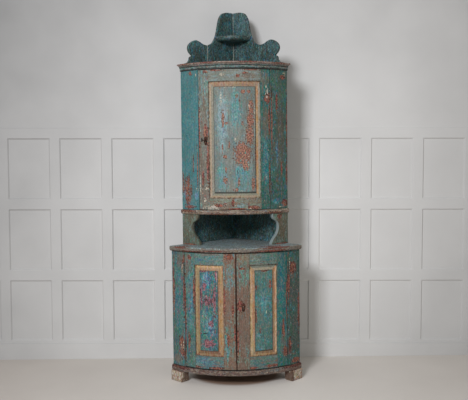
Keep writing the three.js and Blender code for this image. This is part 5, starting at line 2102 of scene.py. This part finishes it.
@dataclass
class Studio:
    """The floor, the wall, the soft light and the camera."""

    distance: float = 4373.0
    eye: float = 1361.5
    aside: float = -6.5
    pitch: float = 3.4336
    roll: float = -0.6
    lens: float = 53.85
    wall: PanelledWall = field(default_factory=PanelledWall)

    def matt(self, name: str, light: str, dark: str, middle: Triple, reach: Triple, turn: float = 0.0,
             under: str = "") -> bpy.types.Material:
        """A matt painted surface with a painted pool of light: its colour is lightest about one place.

        Args:
            name: The material's name.
            light: Its colour at the lightest place.
            dark: Its colour at the reach.
            middle: The lightest place, in metres.
            reach: How far it takes to darken along each axis, in metres.
            turn: How far the first axis rises from level, in radians.
            under: The colour of painted shade on the floor under the case, if any.

        Returns:
            The material, which is clear from behind.
        """
        material, graph = new_material(name)
        whole = graph.add("TexCoord", out="Object")
        away = graph.add("VectorMath", {0: whole, 1: middle}, operation="SUBTRACT")
        away = graph.add("VectorRotate", {"Vector": away, "Angle": turn}, rotation_type="Y_AXIS")
        away = graph.add("VectorMath", {0: away, 1: reach}, operation="DIVIDE")
        far = graph.add("VectorMath", {0: away}, out="Value", operation="LENGTH")
        cloud = graph.add("TexNoise", {"Vector": whole, "Scale": 2.5, "Detail": 3.0}, out="Fac")
        tint = graph.mix(graph.ramp(graph.times(cloud, 0.25, far), 0.125, 1.125, 0.0, 1.0), light, dark)
        # Painted shade: the floor darkens round the case's footprint
        if under:
            beside = graph.add("VectorMath", {0: whole, 1: (0.78, 1.0, 0.0)}, operation="MULTIPLY")
            centre = {0: beside, 1: (0.0, -0.03, 0.0)}
            beside = graph.add("VectorMath", centre, out="Value", operation="DISTANCE")
            tint = graph.between(tint, under, beside, 0.237, 0.187)
        surface = graph.add("BsdfPrincipled", {"Base Color": tint, "Roughness": 0.75})
        behind = graph.add("NewGeometry", out="Backfacing")
        both = graph.add("MixShader", {0: behind, 1: surface, 2: graph.add("BsdfTransparent")})
        graph.node("OutputMaterial", {"Surface": both})
        return material

    def stage(self, name: str, points: Array, faces: list[tuple[int, ...]],
              material: bpy.types.Material) -> None:
        """Makes one surface of the stage from points in millimetres."""
        mesh = bpy.data.meshes.new(name)
        mesh.from_pydata((np.asarray(points) * METRE).tolist(), [], faces)
        mesh.materials.append(material)
        piece = bpy.data.objects.new(name, mesh)
        bpy.context.scene.collection.objects.link(piece)

    def room(self) -> None:
        """A wide pale floor and the wall behind the cupboard."""
        wide, deep, back, level = 6000.0, 5200.0, self.wall.line, -0.5
        corners = [[-wide, -deep, level], [wide, -deep, level], [wide, back, level], [-wide, back, level]]
        # The floor and the wall carry painted pools of light, and the floor painted shade under the case
        floor = self.matt(
            "floor_paint_beige", "#e8e3dc", "#b8b0a8", (0.3, 0.0, 0.0), (2.4, 9.0, 9.0), under="#927866"
        )
        self.stage("floor", corners, [(0, 1, 2, 3)], floor)
        wall = self.matt("wall_paint_grey", "#efefed", "#8f8f8e", (0.27, 0.352, 0.75), (3.6, 9.0, 2.45), 1.1)
        self.stage("wall", *self.wall.surface(), wall)

    def world(self) -> None:
        """A pale backdrop for the camera, and a softer grey as fill light."""
        world = bpy.data.worlds.new("studio")
        bpy.context.scene.world = world
        world.use_nodes = True
        graph = Graph(world.node_tree)
        seen = graph.add("Background", {"Color": linear("#c8c7c6"), "Strength": 1.0})
        fill = graph.add("Background", {"Color": linear("#e6e3df"), "Strength": 0.43})
        camera = graph.add("LightPath", out="Is Camera Ray")
        graph.node("OutputWorld", {"Surface": graph.add("MixShader", {0: camera, 1: fill, 2: seen})})

    def lamp(self, name: str, at: Triple, aim: Triple, size: float, power: float, tint: str) -> None:
        """A square soft light aimed at a point."""
        light = bpy.data.lights.new(name, "AREA")
        light.shape = "SQUARE"
        light.size = size
        light.energy = power
        light.color = linear(tint)[:3]
        lamp = bpy.data.objects.new(name, light)
        lamp.location = at
        lamp.rotation_euler = (Vector(aim) - Vector(at)).to_track_quat("-Z", "Y").to_euler()
        bpy.context.scene.collection.objects.link(lamp)

    def camera(self) -> None:
        """The camera at the photograph's height, distance and tilt."""
        data = bpy.data.cameras.new("camera")
        data.sensor_width = 36.0
        data.lens = self.lens
        eye = bpy.data.objects.new("camera", data)
        tilt = Matrix.Rotation(math.radians(90 - self.pitch), 4, "X")
        roll = Matrix.Rotation(math.radians(self.roll), 4, "Z")
        at = Vector((self.aside, -self.distance, self.eye)) * METRE
        eye.matrix_world = Matrix.Translation(at) @ tilt @ roll
        bpy.context.scene.collection.objects.link(eye)
        bpy.context.scene.camera = eye

    def build(self) -> None:
        """Sets up the studio."""
        scene = bpy.context.scene
        scene.view_settings.view_transform = "Standard"
        self.room()
        self.world()
        self.lamp("key", (-1.45, -4.4, 3.15), (0.0, 0.0, 1.1), 1.0, 170.0, "#f9faff")
        self.lamp("fill", (2.4, -4.6, 1.8), (0.0, 0.0, 1.0), 3.0, 10.0, "#f6f1ea")
        self.camera()


def main() -> None:
    """Builds the pieces in order, from the floor up, and then the studio."""
    logging.basicConfig(level=logging.INFO, format="%(message)s")
    shop = PaintShop()
    mesher = Mesher(shop)
    lower, upper = LowerCase(), UpperCase()
    lower.build(mesher)
    upper.build(mesher)
    Ironwork().build(mesher, lower, upper)
    inside = shop.paint(INSIDE)
    for node in ("lower_back_left", "lower_back_right", "lower_shelf", "upper_shelf_1", "upper_shelf_2",
                 "upper_top_board"):
        mesher.dress(node, inside)
    for node in ("lower_lock_case", "lower_lock_bolt", "upper_lock_case", "upper_lock_bolt",
                 "lower_left_door_bolt", "lower_left_door_bolt_plate"):
        mesher.dress(node, mesher.iron)
    Studio().build()


if __name__ == "__main__":
    main()
